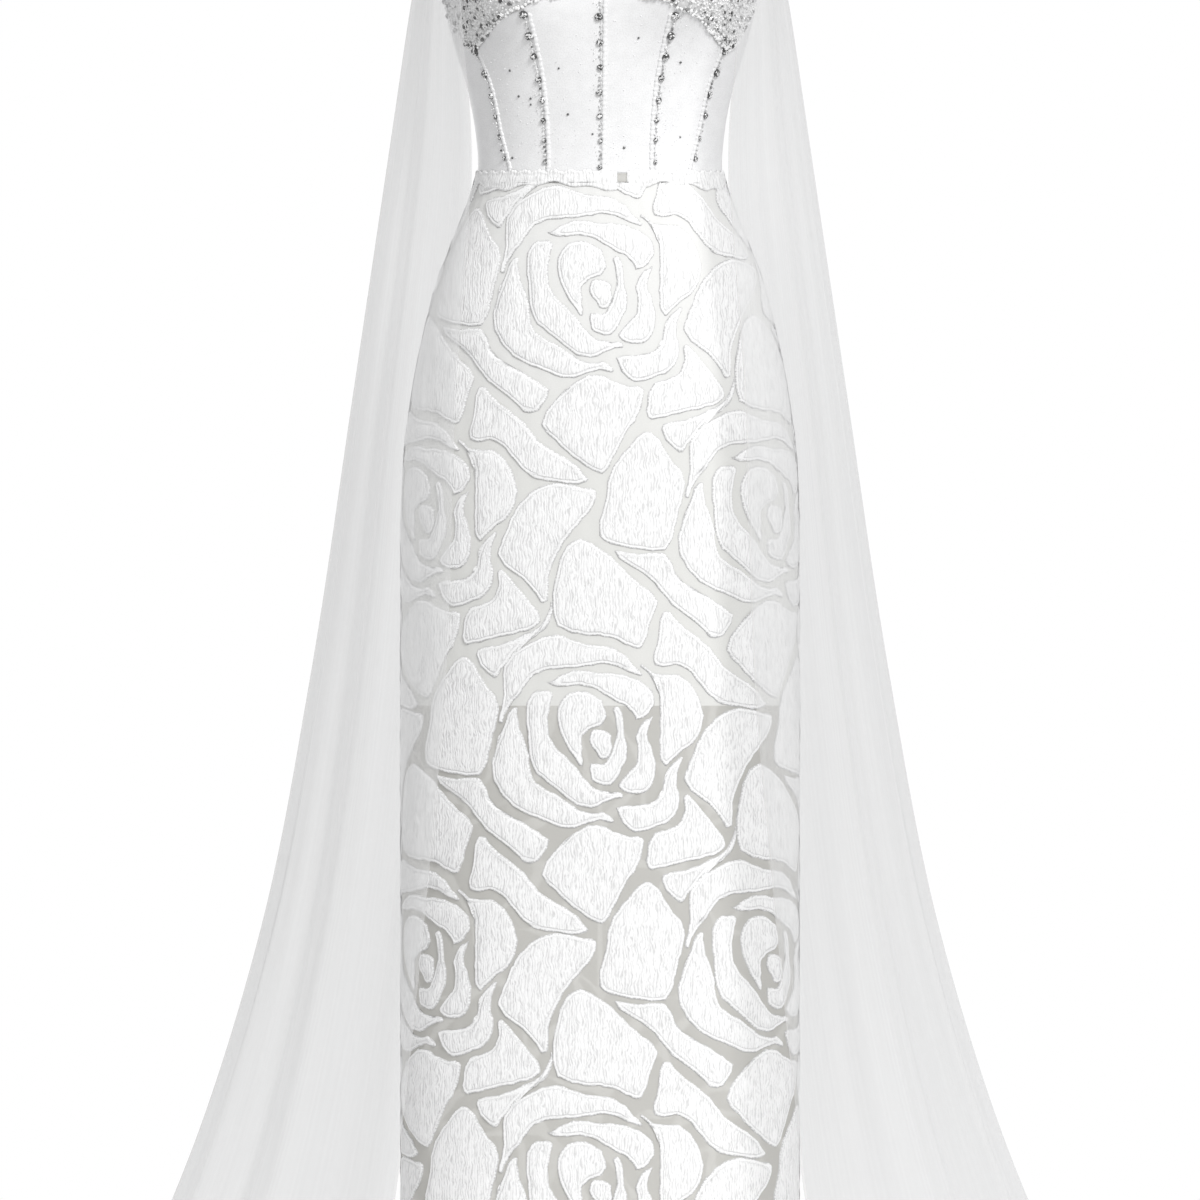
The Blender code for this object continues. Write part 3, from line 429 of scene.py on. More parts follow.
def body_frame(angle, height, out=0.0):
    """A point of the body and the directions there."""
    place = body(angle, height, out)
    directions = frame_on(place, body(angle + 0.2, height, out), body(angle, height + 0.0006, out))
    return place, directions


def normals_of(grid):
    """Outward directions of a grid whose columns run round the body and whose rows rise."""
    normal = np.cross(np.gradient(grid, axis=1), np.gradient(grid, axis=0))
    return normal / np.maximum(np.linalg.norm(normal, axis=-1, keepdims=True), 1e-12)


def mesh_from(name, points, faces, uv=None, values=None):
    """An object from arrays: points (n, 3), quads or triangles (m, k), and values kept at the points."""
    mesh = bpy.data.meshes.new(name)
    mesh.vertices.add(len(points))
    mesh.vertices.foreach_set("co", np.ascontiguousarray(points, np.float32).ravel())
    size = faces.shape[1]
    mesh.loops.add(faces.size)
    mesh.loops.foreach_set("vertex_index", np.ascontiguousarray(faces, np.int32).ravel())
    mesh.polygons.add(len(faces))
    mesh.polygons.foreach_set("loop_start", np.arange(0, faces.size, size, dtype=np.int32))
    mesh.update(calc_edges=True)
    mesh.validate()
    if uv is not None:
        layer = mesh.uv_layers.new(name="cloth")
        layer.data.foreach_set("uv", np.ascontiguousarray(uv[faces.ravel()], np.float32).ravel())
    for key, value in (values or {}).items():
        layer = mesh.attributes.new(key, "FLOAT", "POINT")
        layer.data.foreach_set("value", np.ascontiguousarray(value, np.float32))
    mesh.shade_smooth()
    piece = bpy.data.objects.new(name, mesh)
    bpy.context.collection.objects.link(piece)
    return piece


def grid_faces(rows, cols):
    """Quads of a grid, facing the way its columns and rows turn."""
    index = np.arange(rows * cols).reshape(rows, cols)
    return np.stack([index[:-1, :-1], index[:-1, 1:], index[1:, 1:], index[1:, :-1]], axis=-1).reshape(-1, 4)


def cloth_uv(grid):
    """Metres along the rows and up the columns of a grid, from its middle column."""
    steps = np.linalg.norm(np.diff(grid, axis=1), axis=-1)
    along = np.concatenate([np.zeros((len(grid), 1)), np.cumsum(steps, axis=1)], axis=1)
    return np.stack([along - along[:, [grid.shape[1] // 2]], grid[..., 2]], axis=-1).reshape(-1, 2)


def grid_piece(name, grid, finish, node=None, values=None):
    """A piece from one grid of points, riding on the gown and standing for a node."""
    piece = mesh_from(name, grid.reshape(-1, 3), grid_faces(*grid.shape[:2]), cloth_uv(grid), values)
    return dressed(piece, finish, node)


def finish_of(name):
    """The named material, made when it is first needed."""
    return bpy.data.materials.get(name) or FINISHES[name][1](name)


def dressed(piece, finish, node=None):
    """Gives a piece its finish and its body, and hides the node that it stands for."""
    piece.data.materials.append(finish_of(finish))
    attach(piece, BODY)
    if node:
        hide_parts(node)
    return piece


def thickened(piece, wall):
    """Cloth thickness laid inside the surface."""
    solid = piece.modifiers.new("cloth", "SOLIDIFY")
    solid.thickness = wall
    solid.offset = -1.0
    solid.use_even_offset = True
    return piece


def flat_cut(grid):
    """Width, length and area of the cloth in a grid: its widest row, longest column and all its quads."""
    width = np.linalg.norm(np.diff(grid, axis=1), axis=-1).sum(1).max()
    length = np.linalg.norm(np.diff(grid, axis=0), axis=-1).sum(0).max()
    across = np.diff(grid, axis=1)[:-1]
    up = np.diff(grid, axis=0)[:, :-1]
    area = np.linalg.norm(np.cross(across, up), axis=-1).sum()
    return float(width), float(length), float(area)


def declare_cloth(piece, grid):
    """Works out the sheet's width, length and area from its own surface, and keeps none of them."""
    width, length, area = flat_cut(grid)


def other_side(grid):
    """The same grid across the centre line, its columns turned round so that it still faces out."""
    return grid[:, ::-1] * np.array([-1.0, 1.0, 1.0])


def both_sides(grid):
    """Each side's hand and name, and the grid as it lies there."""
    return (1, "left", grid), (-1, "right", other_side(grid))


def hands_of(seam):
    """Hand and name of each side on which a seam lies; the one at the centre front is named left."""
    return ((1, "left"),) if seam == "centre" else ((1, "left"), (-1, "right"))


# Materials

# Sockets of a colour mixing node: its share, its two colours, and the colour that it puts out
MIX_SHARE, MIX_FIRST, MIX_SECOND, MIX_OUT = 0, 6, 7, 2


def shader_tree(name, looks):
    """A new material with its nodes and Principled shader, whose constant values are given by name."""
    made = bpy.data.materials.new(name)
    made.use_nodes = True
    shader = made.node_tree.nodes["Principled BSDF"]
    for key, value in looks.items():
        shader.inputs[key].default_value = value
    return made, made.node_tree, shader


def add_node(tree, kind, **values):
    """A node with its properties and input values set by name."""
    made = tree.nodes.new("ShaderNode" + kind)
    for key, value in values.items():
        if key in made.inputs:
            made.inputs[key].default_value = value
        else:
            setattr(made, key, value)
    return made


def plug(tree, source, target):
    """Links a socket to what another node puts out, or sets it to a constant."""
    if isinstance(source, bpy.types.NodeSocket):
        tree.links.new(source, target)
    else:
        target.default_value = source


def fed(tree, kind, *sources, **values):
    """What a new node puts out first, its first sockets linked or set to the sources in turn."""
    made = add_node(tree, kind, **values)
    for source, target in zip(sources, made.inputs):
        plug(tree, source, target)
    return made.outputs[0]


def place_on(tree, scale, cloth=True):
    """Pattern coordinates: the cloth's own metres, or the object's, stretched."""
    source = add_node(tree, "TexCoord")
    return fed(tree, "Mapping", source.outputs["UV" if cloth else "Object"], Scale=scale)


def noise(tree, vector, detail=2.0, rough=0.5, twist=0.0):
    """Soft cloudy values from 0 to 1."""
    made = add_node(tree, "TexNoise", Scale=1.0, Detail=detail, Roughness=rough, Distortion=twist)
    plug(tree, vector, made.inputs["Vector"])
    return made.outputs["Fac"]


def ramp(tree, value, *stops):
    """Colours along a value: each stop a position and a colour or grey."""
    made = add_node(tree, "ValToRGB")
    points = made.color_ramp.elements
    while len(points) < len(stops):
        points.new(0.5)
    for point, (place, tone) in zip(points, stops):
        point.position = place
        point.color = (*tone, 1.0) if hasattr(tone, "__len__") else (tone, tone, tone, 1.0)
    plug(tree, value, made.inputs["Fac"])
    return made.outputs["Color"]


def bump(tree, shader, height, depth, strength):
    """Raises a finish by a pattern of heights."""
    made = add_node(tree, "Bump", Strength=strength, Distance=depth)
    plug(tree, height, made.inputs["Height"])
    plug(tree, made.outputs["Normal"], shader.inputs["Normal"])


def mixed(tree, share, first, second, blend="MIX"):
    """Two colours mixed by a share."""
    made = add_node(tree, "Mix", data_type="RGBA", blend_type=blend)
    for source, place in ((share, MIX_SHARE), (first, MIX_FIRST), (second, MIX_SECOND)):
        plug(tree, source, made.inputs[place])
    return made.outputs[MIX_OUT]


def multiplied(tree, first, second):
    """Two colours multiplied."""
    return mixed(tree, 1.0, first, second, "MULTIPLY")


def attribute(tree, name):
    """A value kept at the points of the mesh."""
    return add_node(tree, "Attribute", attribute_name=name).outputs["Fac"]


def satin_finish(name):
    """White corset net over satin: a fine weave, a soft mottle and a little sheen."""
    made, tree, shader = shader_tree(name, {"Roughness": 0.5, "Sheen Weight": 0.15})
    colour = list(bpy.context.scene.gown.satin)
    shaded = [part * 0.955 for part in colour]
    cloud = noise(tree, place_on(tree, (90, 90, 90), False), 3)
    mottle = ramp(tree, cloud, (0.35, shaded), (0.65, colour))
    net = noise(tree, place_on(tree, (700, 700, 1)), 1)
    tone = multiplied(tree, mottle, ramp(tree, net, (0.35, 0.93), (0.6, 1.0)))
    plug(tree, tone, shader.inputs["Base Color"])
    bump(tree, shader, net, 0.00015, 0.6)
    return made


def petal_finish(name):
    """Crinkled raised cloth: upright creases inside a smooth border, parted from it by sunk stitches; painted
    shade darkens the creases' hollows, the rim and the groove of the sunk stitching.
    """
    made, tree, shader = shader_tree(name, {"Roughness": 0.7})
    settings = bpy.context.scene.gown
    wave = fed(tree, "CombineXYZ", noise(tree, place_on(tree, (70, 45, 1)), 2))
    bend = fed(tree, "VectorMath", wave, operation="SCALE", Scale=5.0)
    moved = fed(tree, "VectorMath", place_on(tree, (330, 75, 1)), bend, operation="ADD")
    streak = noise(tree, moved, 3, 0.55, 1.0)
    threads = add_node(tree, "TexWave", bands_direction="X", Scale=1.0, Distortion=11.0, Detail=3.0)
    threads.inputs["Detail Scale"].default_value = 1.1
    plug(tree, place_on(tree, (105, 60, 1)), threads.inputs["Vector"])
    crease = fed(tree, "Math", threads.outputs["Fac"], 0.26, streak, operation="MULTIPLY_ADD")
    # Painted shade in the crinkle's hollows: the creases darken the field's colour
    lines = ramp(tree, crease, (0.38, 0.74), (0.52, 0.87), (0.66, 1.0))
    inner = (0.0028, 0.0042)
    field = fed(tree, "MapRange", attribute(tree, "edge"), *inner, interpolation_type="SMOOTHSTEP")
    plain = mixed(tree, field, WHITE, lines)
    # Painted shade along the petal's rim, where it drops to the ground, broken into a ragged fringe, and in
    # the groove of the sunk stitching
    ragged = fed(tree, "MapRange", noise(tree, place_on(tree, (620, 620, 1)), 1), 0.35, 0.65, -0.11, 0.11)
    jagged = fed(tree, "Math", attribute(tree, "edge_share"), ragged, operation="ADD")
    tones = ((0.04, 0.60), (0.16, 0.82), (0.26, 1.0), (0.44, 1.0), (0.55, 0.80), (0.68, 1.0))
    petal_with_edge_shade = ramp(tree, jagged, *((place, [part * tone for part in settings.petal]) for place, tone in tones))
    plug(tree, multiplied(tree, petal_with_edge_shade, plain), shader.inputs["Base Color"])
    bump(tree, shader, fed(tree, "Math", crease, field, operation="MULTIPLY"), settings.crinkle * 2, 0.8)
    return made


def sheer(tree, shader, cover):
    """Lets light straight through all but a share of the cloth."""
    clear = add_node(tree, "BsdfTransparent").outputs[0]
    plug(tree, fed(tree, "MixShader", cover, clear, shader), tree.nodes["Material Output"].inputs["Surface"])


def ground_finish(name):
    """Sheer greige ground between the petals, whitened where the lining lies against it, but not at the
    waist seam: above the petals the height is read as if it were below the lining."""
    made, tree, shader = shader_tree(name, {"Roughness": 0.75})
    settings = bpy.context.scene.gown
    place = add_node(tree, "SeparateXYZ")
    plug(tree, place_on(tree, (1, 1, 1), False), place.inputs[0])
    height = place.outputs["Z"]
    above = fed(tree, "Math", height, PETAL_TOP, operation="GREATER_THAN")
    level = fed(tree, "Math", above, LINING_HEM + PETAL_TOP, height, operation="MULTIPLY_ADD")
    backed = fed(tree, "MapRange", level, LINING_HEM - LINING_BLUR, LINING_HEM + LINING_BLUR)
    tone = ramp(tree, backed, (0.0, list(settings.ground)), (1.0, list(settings.ground_backed)))
    close = fed(tree, "MapRange", level, LOOSE_LINING, CLOSE_LINING, interpolation_type="SMOOTHSTEP")
    whitened = mixed(tree, close, tone, (*settings.ground_close, 1))
    grain = ramp(tree, noise(tree, place_on(tree, (900, 900, 1)), 1), (0.3, 0.94), (0.7, 1.0))
    plug(tree, multiplied(tree, whitened, grain), shader.inputs["Base Color"])
    two_layers = 1 - (1 - settings.ground_cover) / 2
    cover = fed(tree, "MapRange", backed, 0.0, 1.0, settings.ground_cover, two_layers)
    sheer(tree, shader.outputs[0], cover)
    return made


def lining_finish(name):
    """Plain matt white lining."""
    made, tree, shader = shader_tree(name, {"Roughness": 0.65})
    weave = noise(tree, place_on(tree, (600, 600, 1)), 1)
    plug(tree, ramp(tree, weave, (0.3, 0.90), (0.7, 0.94)), shader.inputs["Base Color"])
    bump(tree, shader, weave, 0.0001, 0.4)
    return made


def tulle_finish(name):
    """Fine soft net: mostly seen through, with soft bands that spread from the shoulder and faint streaks
    in them."""
    made, tree, shader = shader_tree(name, {"Roughness": 0.85})
    cover = bpy.context.scene.gown.tulle_cover
    across = fed(tree, "CombineXYZ", attribute(tree, "share"))
    broad, fine = (fed(tree, "Mapping", across, Scale=(bands, 1, 1)) for bands in (13, 150))
    bands = fed(tree, "Math", noise(tree, fine, 2), 0.35, noise(tree, broad, 1), operation="MULTIPLY_ADD")
    spread = fed(tree, "MapRange", bands, 0.42, 0.94, cover - 0.06, cover + 0.06)
    net = noise(tree, place_on(tree, (1100, 1100, 1)), 0)
    plug(tree, ramp(tree, net, (0.3, 0.72), (0.7, 0.78)), shader.inputs["Base Color"])
    through = add_node(tree, "BsdfTranslucent", Color=(0.84, 0.84, 0.85, 1))
    sheer(tree, fed(tree, "MixShader", 0.5, shader.outputs[0], through.outputs[0]), spread)
    return made


def crystal_finish(name):
    """Foiled glass stones: each facet keeps its own painted tone, from a near-black painted reflection to a
    bright painted glint.
    """
    looks = {"Roughness": 0.12, "Specular IOR Level": 0.7, "Coat Weight": 0.6, "Coat Roughness": 0.03}
    made, tree, shader = shader_tree(name, looks)
    tones = (0.0, 0.015), (0.30, 0.07), (0.55, 0.42), (0.8, 0.9), (1.0, 1.0)
    plug(tree, ramp(tree, attribute(tree, "glint"), *tones), shader.inputs["Base Color"])
    return made


def bead_finish(name):
    """Silver-lined seed beads and sequins, some darker than others."""
    made, tree, shader = shader_tree(name, {"Metallic": 0.15, "Roughness": 0.25})
    tones = (0.0, 0.12), (0.2, 0.60), (0.5, 0.90), (1.0, 0.98)
    plug(tree, ramp(tree, attribute(tree, "glint"), *tones), shader.inputs["Base Color"])
    return made


def cup_finish(name):
    """Grey-white net under the stones, scattered with flat sequins."""
    made, tree, shader = shader_tree(name, {"Roughness": 0.4})
    spots = add_node(tree, "TexVoronoi", Scale=1.0)
    plug(tree, place_on(tree, (330, 330, 1)), spots.inputs["Vector"])
    sequins = ramp(tree, spots.outputs["Distance"], (0.1, 0.97), (0.55, 0.74))
    cloud = ramp(tree, noise(tree, place_on(tree, (120, 120, 1)), 3), (0.35, 0.80), (0.65, 1.0))
    plug(tree, multiplied(tree, sequins, cloud), shader.inputs["Base Color"])
    bump(tree, shader, spots.outputs["Distance"], 0.0006, 0.8)
    return made


def lacquer_finish(name):
    """White lacquered zip metal."""
    made, tree, shader = shader_tree(name, {"Roughness": 0.3, "Coat Weight": 0.4})
    wear = noise(tree, place_on(tree, (400, 400, 400), False), 2)
    plug(tree, ramp(tree, wear, (0.3, 0.84), (0.7, 0.90)), shader.inputs["Base Color"])
    return made


def floor_finish(name):
    """Pale matt floor with soft clouds."""
    made, tree, shader = shader_tree(name, {"Roughness": 0.8})
    cloud = noise(tree, place_on(tree, (6, 6, 6), False), 2)
    plug(tree, ramp(tree, cloud, (0.3, 0.86), (0.7, 0.90)), shader.inputs["Base Color"])
    return made


FINISHES = {
    # finish: the record's slot, the function that makes it
    "satin net": ("satin", satin_finish),
    "raised petal": ("rose_cloth", petal_finish),
    "sheer ground": ("rose_cloth", ground_finish),
    "matt lining": ("lining", lining_finish),
    "soft tulle": ("tulle", tulle_finish),
    "foiled crystal": ("crystal", crystal_finish),
    "silver bead": ("crystal", bead_finish),
    "sequined net": ("crystal_mesh", cup_finish),
    "zip lacquer": ("zip_metal", lacquer_finish),
}


# Corset


def upper_edge(angle):
    """Height of the panels' upper edge: under the cups in front, free behind them."""
    angle = np.abs(angle)
    return np.where(angle < CUP_END, smooth_table(CUP_EDGE, 1, angle), smooth_table(BACK_EDGE, 1, angle))


def corset_panel(before, after, cols, rows):
    """Angles and heights of one panel between two seams, from the waist to the upper edge: each column's top
    is found by halving the step towards the edge's height until it stays."""
    share = np.linspace(0, 1, cols)
    top = np.full(cols, FIRST_TOP)
    for _ in range(TOP_ROUNDS):
        at = (1 - share) * smooth_table(before, 1, top) + share * smooth_table(after, 1, top)
        top = 0.5 * top + 0.5 * upper_edge(at)
    height = top * np.linspace(0, 1, rows)[:, None]
    angle = (1 - share) * smooth_table(before, 1, height) + share * smooth_table(after, 1, height)
    return angle, height


def make_corset():
    """Ten panels, each sunk a little into its seams, with small folds that the stitches pull across them."""
    for name, before, after, cols, rows in CORSET_PANELS:
        angle, height = corset_panel(before, after, cols, rows)
        place = body(angle, height)
        step = np.linalg.norm(place[0, 1] - place[0, 0])
        from_edge = np.minimum(np.arange(cols), np.arange(cols)[::-1]) * step
        groove = -SEAM_SINK * np.exp(-((from_edge / SEAM_WIDTH) ** 2))
        folds = np.sin(height * 2 * np.pi / FOLD_LENGTH + 3 * np.sin(angle)) * np.exp(-from_edge / FOLD_FADE)
        for _, side, points in both_sides(body(angle, height, groove + FOLD_DEPTH * folds)):
            piece = grid_piece(f"{name}_{side}_cloth", points, "satin net", f"{name}_{side}")
            thickened(piece, CORSET_WALL)
            declare_cloth(piece, points)


def flat_cord(path, along, outward, half_width, half_height):
    """Points and faces of a cord of oval section carried along a path, given directions across and out of
    the cloth, its two ends drawn to a point."""
    turn = np.linspace(0, 2 * np.pi, CORD_SIDES, endpoint=False)
    taper = np.ones(len(path))
    taper[[0, -1]] = 0.02
    across = (half_width * taper)[:, None, None] * np.cos(turn)[None, :, None] * along[:, None]
    up = (half_height * taper)[:, None, None] * np.sin(turn)[None, :, None] * outward[:, None]
    index = np.arange(len(path) * CORD_SIDES).reshape(-1, CORD_SIDES)
    after = np.roll(index, -1, axis=1)
    faces = np.stack([index[:-1], after[:-1], after[1:], index[1:]], axis=-1).reshape(-1, 4)
    return (path[:, None] + across + up).reshape(-1, 3), faces


def make_piping():
    """A flattened white cord beside each beaded seam, on its side towards the centre front, lumpy from its
    stitches."""
    for name, seam, _, foot, head, aside in STONE_ROWS:
        height = np.linspace(0.001, head + 0.003, 180)
        stone = PIPING_ASIDE + PIPING_SPREAD * height
        from_seam = np.degrees((stone + PIPING_HALF * 0.6) / smooth_table(SECTIONS, 1, height))
        angle = smooth_table(seam, 1, height) + aside * from_seam + 0.12 * np.sin(height * 620)
        path, (along, _, outward) = body_frame(angle, height, 0.0002)
        lump = 1 + 0.18 * np.sin(height * 1350) + 0.12 * np.sin(height * 2210 + 1)
        points, faces = flat_cord(path, along, outward, PIPING_HALF * lump, PIPING_RISE * lump)
        for hand, side in hands_of(name):
            piece = mesh_from(f"piping_{name}_{side}", points * np.array([hand, 1, 1]), faces[:, ::hand])
            dressed(piece, "satin net")


# Stones and beads


def belt(low, high):
    """Triangles between two rings of points; a ring drawn to a pole has none of its own."""
    after_low, after_high = np.roll(low, -1, axis=0), np.roll(high, -1, axis=0)
    triangles = []
    if np.ptp(low[:, 0]) > POLE:
        triangles.append(np.stack([low, after_low, after_high], 1))
    if np.ptp(high[:, 0]) > POLE:
        triangles.append(np.stack([low, after_high, high], 1))
    return np.concatenate(triangles)


def turned_shape(profile, sides, twist=0.0):
    """A small turned shape: a ring of points for each radius and height, from the top down, each turned on
    by the twist. Triangles with their own points, so that each facet stays flat and keeps its own tone."""
    turn = np.arange(sides) * 2 * np.pi / sides
    rings = []
    for i, (radius, rise) in enumerate(profile):
        at = turn + i * twist
        rings.append(np.stack([radius * np.cos(at), radius * np.sin(at), np.full(sides, rise)], 1))
    return np.concatenate([belt(low, high) for low, high in zip(rings[1:], rings[:-1])])


def turned_stone():
    """A round stone cut in facets: a flat top, two belts of facets and a set edge."""
    return turned_shape(STONE_PROFILE, STONE_SIDES, np.pi / STONE_SIDES)


def round_bead():
    """A small ball: rings of points between two poles."""
    lift = np.linspace(np.pi / 2, -np.pi / 2, BEAD_BELTS + 1)
    return turned_shape(np.stack([np.cos(lift), np.sin(lift)], 1), BEAD_SIDES)


def disc():
    """A thin flat sequin with a shallow dish: a fan and a rim."""
    turn = np.arange(SEQUIN_SIDES + 1) * 2 * np.pi / SEQUIN_SIDES
    rim = np.stack([np.cos(turn), np.sin(turn), np.full(len(turn), 0.12)], 1)
    foot = np.stack([0.9 * np.cos(turn), 0.9 * np.sin(turn), np.full(len(turn), -0.2)], 1)
    fan = np.stack([np.zeros((SEQUIN_SIDES, 3)), rim[:-1], rim[1:]], 1)
    outer = np.stack([foot[:-1], foot[1:], rim[1:]], 1)
    return np.concatenate([fan, outer, np.stack([foot[:-1], rim[1:], rim[:-1]], 1)])


def scatter(name, shape, place, directions, size, glint, finish, node=None):
    """Copies of a small shape joined in one mesh: each turned to its own directions and sized, with one tone
    or one for each of its faces."""
    axes = np.stack(directions, axis=1)
    corners = np.einsum("tvk,nkx->ntvx", shape, axes) * np.reshape(size, (-1, 1, 1, 1)) + place[:, None, None]
    count, faces = len(place), len(shape)
    tone = np.broadcast_to(np.reshape(glint, (count, -1)), (count, faces))
    index = np.arange(count * faces * 3).reshape(-1, 3)
    values = {"glint": np.repeat(np.ascontiguousarray(tone).ravel(), 3)}
    piece = mesh_from(name, corners.reshape(-1, 3), index, None, values)
    piece.data.shade_flat()
    return dressed(piece, finish, node)


def turned(directions, angle):
    """Directions spun about the outward one."""
    along, up, outward = directions
    c, s = np.cos(angle)[:, None], np.sin(angle)[:, None]
    return along * c + up * s, up * c - along * s, outward


def tilted(chance, directions, tilt):
    """Directions leant a random way, the outward one by about half the tilt."""
    along, upward, outward = directions
    lean = along * chance.normal(0, 0.5, (len(along), 1)) + upward * chance.normal(0, 0.5, (len(along), 1))
    outward = outward + tilt * lean
    outward /= np.linalg.norm(outward, axis=1, keepdims=True)
    along = np.cross(upward, outward)
    along /= np.linalg.norm(along, axis=1, keepdims=True)
    return along, np.cross(outward, along), outward


def facet_tones(chance, count, shares):
    """Tones of each facet of each stone: on its table, crown, girdle and setting a share of them dark, the
    rest bright, as painted dark reflections and painted glints of foiled glass."""
    dark = np.repeat(shares, (STONE_SIDES, 2 * STONE_SIDES, 2 * STONE_SIDES, 2 * STONE_SIDES))
    every = (count, len(dark))
    low, high = chance.uniform(0.0, 0.35, every), chance.uniform(0.6, 1.0, every)
    return np.where(chance.random(every) < dark, low, high)


def make_beading():
    """Stones along the five front seams, largest under the cups, with small beads between them and specks
    beside."""
    settings = bpy.context.scene.gown
    chance = np.random.default_rng(11)
    stone, bead = turned_stone(), round_bead()
    for name, seam, count, foot, head, _ in STONE_ROWS:
        for hand, side in hands_of(name):
            node = "seam_beading_" + (name if name == "centre" else f"{name}_{side}")
            height = np.linspace(foot, head, count) + chance.normal(0, 0.0007, count)
            share = np.clip((height - foot) / (head - foot), 0, 1) ** 1.2
            size = settings.stone_low + (settings.stone_high - settings.stone_low) * share
            size *= chance.uniform(0.88, 1.1, count)
            angle = smooth_table(seam, 1, height) + chance.normal(0, 0.25, count)
            place, directions = body_frame(angle * hand, height, STONE_LIFT)
            directions = turned(directions, chance.uniform(0, 6, count))
            # The stones' facet tones are painted dark reflections and painted glints
            tones = facet_tones(chance, count, SEAM_STONE_REFLECTIONS)
            scatter(f"stones_{name}_{side}", stone, place, directions, size, tones, "foiled crystal", node)
            step = (head - foot) / (count - 1)
            stones = np.linspace(foot, head - step, count - 1)
            seeds = np.add.outer(stones, step * np.array(SEED_SHARES)).ravel()
            specks = chance.uniform(foot, head, SPECKS * count)
            along_seam = np.concatenate([seeds + chance.normal(0, 0.0006, len(seeds)), specks])
            aside = chance.normal(0, 0.25, len(seeds)), chance.uniform(-2.6, 2.6, len(specks))
            size = chance.uniform(*SEED_SIZE, len(seeds)), chance.uniform(*SPECK_SIZE, len(specks))
            tone = chance.uniform(0.0, 0.75, len(seeds)), chance.uniform(0.3, 1.0, len(specks))
            angle = smooth_table(seam, 1, along_seam) + np.concatenate(aside)
            place, directions = body_frame(angle * hand, along_seam, SEED_LIFT)
            size, tone = np.concatenate(size), np.concatenate(tone)
            scatter(f"seeds_{name}_{side}", bead, place, directions, size, tone, "silver bead")


def make_loose_beads():
    """Tiny beads scattered on the corset panels, a few of them larger and dark."""
    chance = np.random.default_rng(23)
    height = chance.uniform(0.006, 0.15, LOOSE_BEADS)
    angle = chance.uniform(2, 56, LOOSE_BEADS) * chance.choice([-1, 1], LOOSE_BEADS)
    keep = height < upper_edge(angle) - 0.004
    height, angle = height[keep], angle[keep]
    count = len(height)
    place, directions = body_frame(angle, height, 0.0003)
    dark = np.arange(count) < DARK_BEADS
    size = np.where(dark, chance.uniform(0.0010, 0.0014, count), chance.uniform(*SPECK_SIZE, count))
    tone = np.where(dark, 0.0, chance.uniform(0.3, 1.0, count))
    scatter("loose_beads", round_bead(), place, directions, size, tone, "silver bead")


def cup_place(across, up):
    """Angle and height on a cup: across 0..1 from the centre front to its outer end, up 0..1 from its lower
    edge."""
    angle = across * CUP_END
    low, high = smooth_table(CUP_EDGE, 1, angle), smooth_table(NECKLINE, 1, angle)
    return angle, low + (high - low) * up


def bead_tones(chance, count):
    """Mostly bright beads, a small share of them dark."""
    is_dark = chance.random(count) < DARK_SHARE
    dark, bright = chance.uniform(0, 0.2, count), chance.uniform(0.6, 1.0, count)
    return np.where(is_dark, dark, bright)


def cup_border(chance, bead, hand, side):
    """The cup's lower edge: a lumpy row of beads that follows it."""
    count = BORDER_BEADS
    across = (np.arange(count) + chance.uniform(0.2, 0.8, count)) / count
    angle, height = cup_place(0.008 + 0.98 * across, chance.uniform(-0.01, 0.03, count))
    place, directions = body_frame(angle * hand, height, 0.0016)
    size = chance.uniform(0.0014, 0.0021, count)
    tones = bead_tones(chance, count)
    return scatter(f"cup_{side}_border", bead, place, directions, size, tones, "silver bead")


def crust_places(chance, step):
    """Angles and heights of a half-drop lattice over a cup, shaken, and thinned where the cup is low."""
    wide, tall = int(CUP_WIDE / step), int(CUP_TALL / step)
    col, row = np.meshgrid(np.arange(wide), np.arange(tall))
    across = ((col + 0.5 * (row % 2) + chance.uniform(-SHAKE, SHAKE, col.shape)) / wide).ravel()
    up = ((row + 0.5 + chance.uniform(-SHAKE, SHAKE, col.shape)) / tall).ravel()
    angle, height = cup_place(across, up)
    room = (smooth_table(NECKLINE, 1, angle) - smooth_table(CUP_EDGE, 1, angle)) / CUP_TALL
    keep = (across > 0.012) & (across < 0.99) & (chance.random(len(across)) < room)
    return angle[keep], height[keep]


def make_cups():
    """Cups of sequined net, crusted with seed beads, tilted sequins and clear stones whose dark hearts are
    painted dark reflections.
    """
    chance = np.random.default_rng(5)
    across, up = np.meshgrid(np.linspace(0.001, 1, 90), np.linspace(0, 1, 60))
    angle, height = cup_place(across, up)
    rounded = 1 - np.exp(-np.minimum(up, 1 - up) / 0.04)
    grid = body(angle, height, CUP_SWELL * rounded + CUP_RIPPLE * np.sin(angle * 2.2) * np.sin(height * 900))
    shapes = {"crust": round_bead(), "sequins": disc(), "stones": turned_stone()}
    for hand, side, points in both_sides(grid):
        net = thickened(grid_piece(f"cup_{side}_net", points, "sequined net", f"cup_{side}"), CUP_WALL)
        layers = [cup_border(chance, shapes["crust"], hand, side)]
        for label, step, low, high, lift, tilt, finish in CUP_LAYERS:
            angle, height = crust_places(chance, step)
            count = len(angle)
            place, directions = body_frame(angle * hand, height, lift * chance.uniform(0.7, 1.1, count))
            directions = tilted(chance, turned(directions, chance.uniform(0, 6, count)), tilt)
            # Cup stones' facet tones are painted dark reflections and painted glints
            is_stone = label == "stones"
            tones = facet_tones(chance, count, CUP_STONE_REFLECTIONS) if is_stone else bead_tones(chance, count)
            size = chance.uniform(low, high, count)
            name = f"cup_{side}_{label}"
            layers.append(scatter(name, shapes[label], place, directions, size, tones, finish))
        declare_cloth(net, points)


# Rose cloth


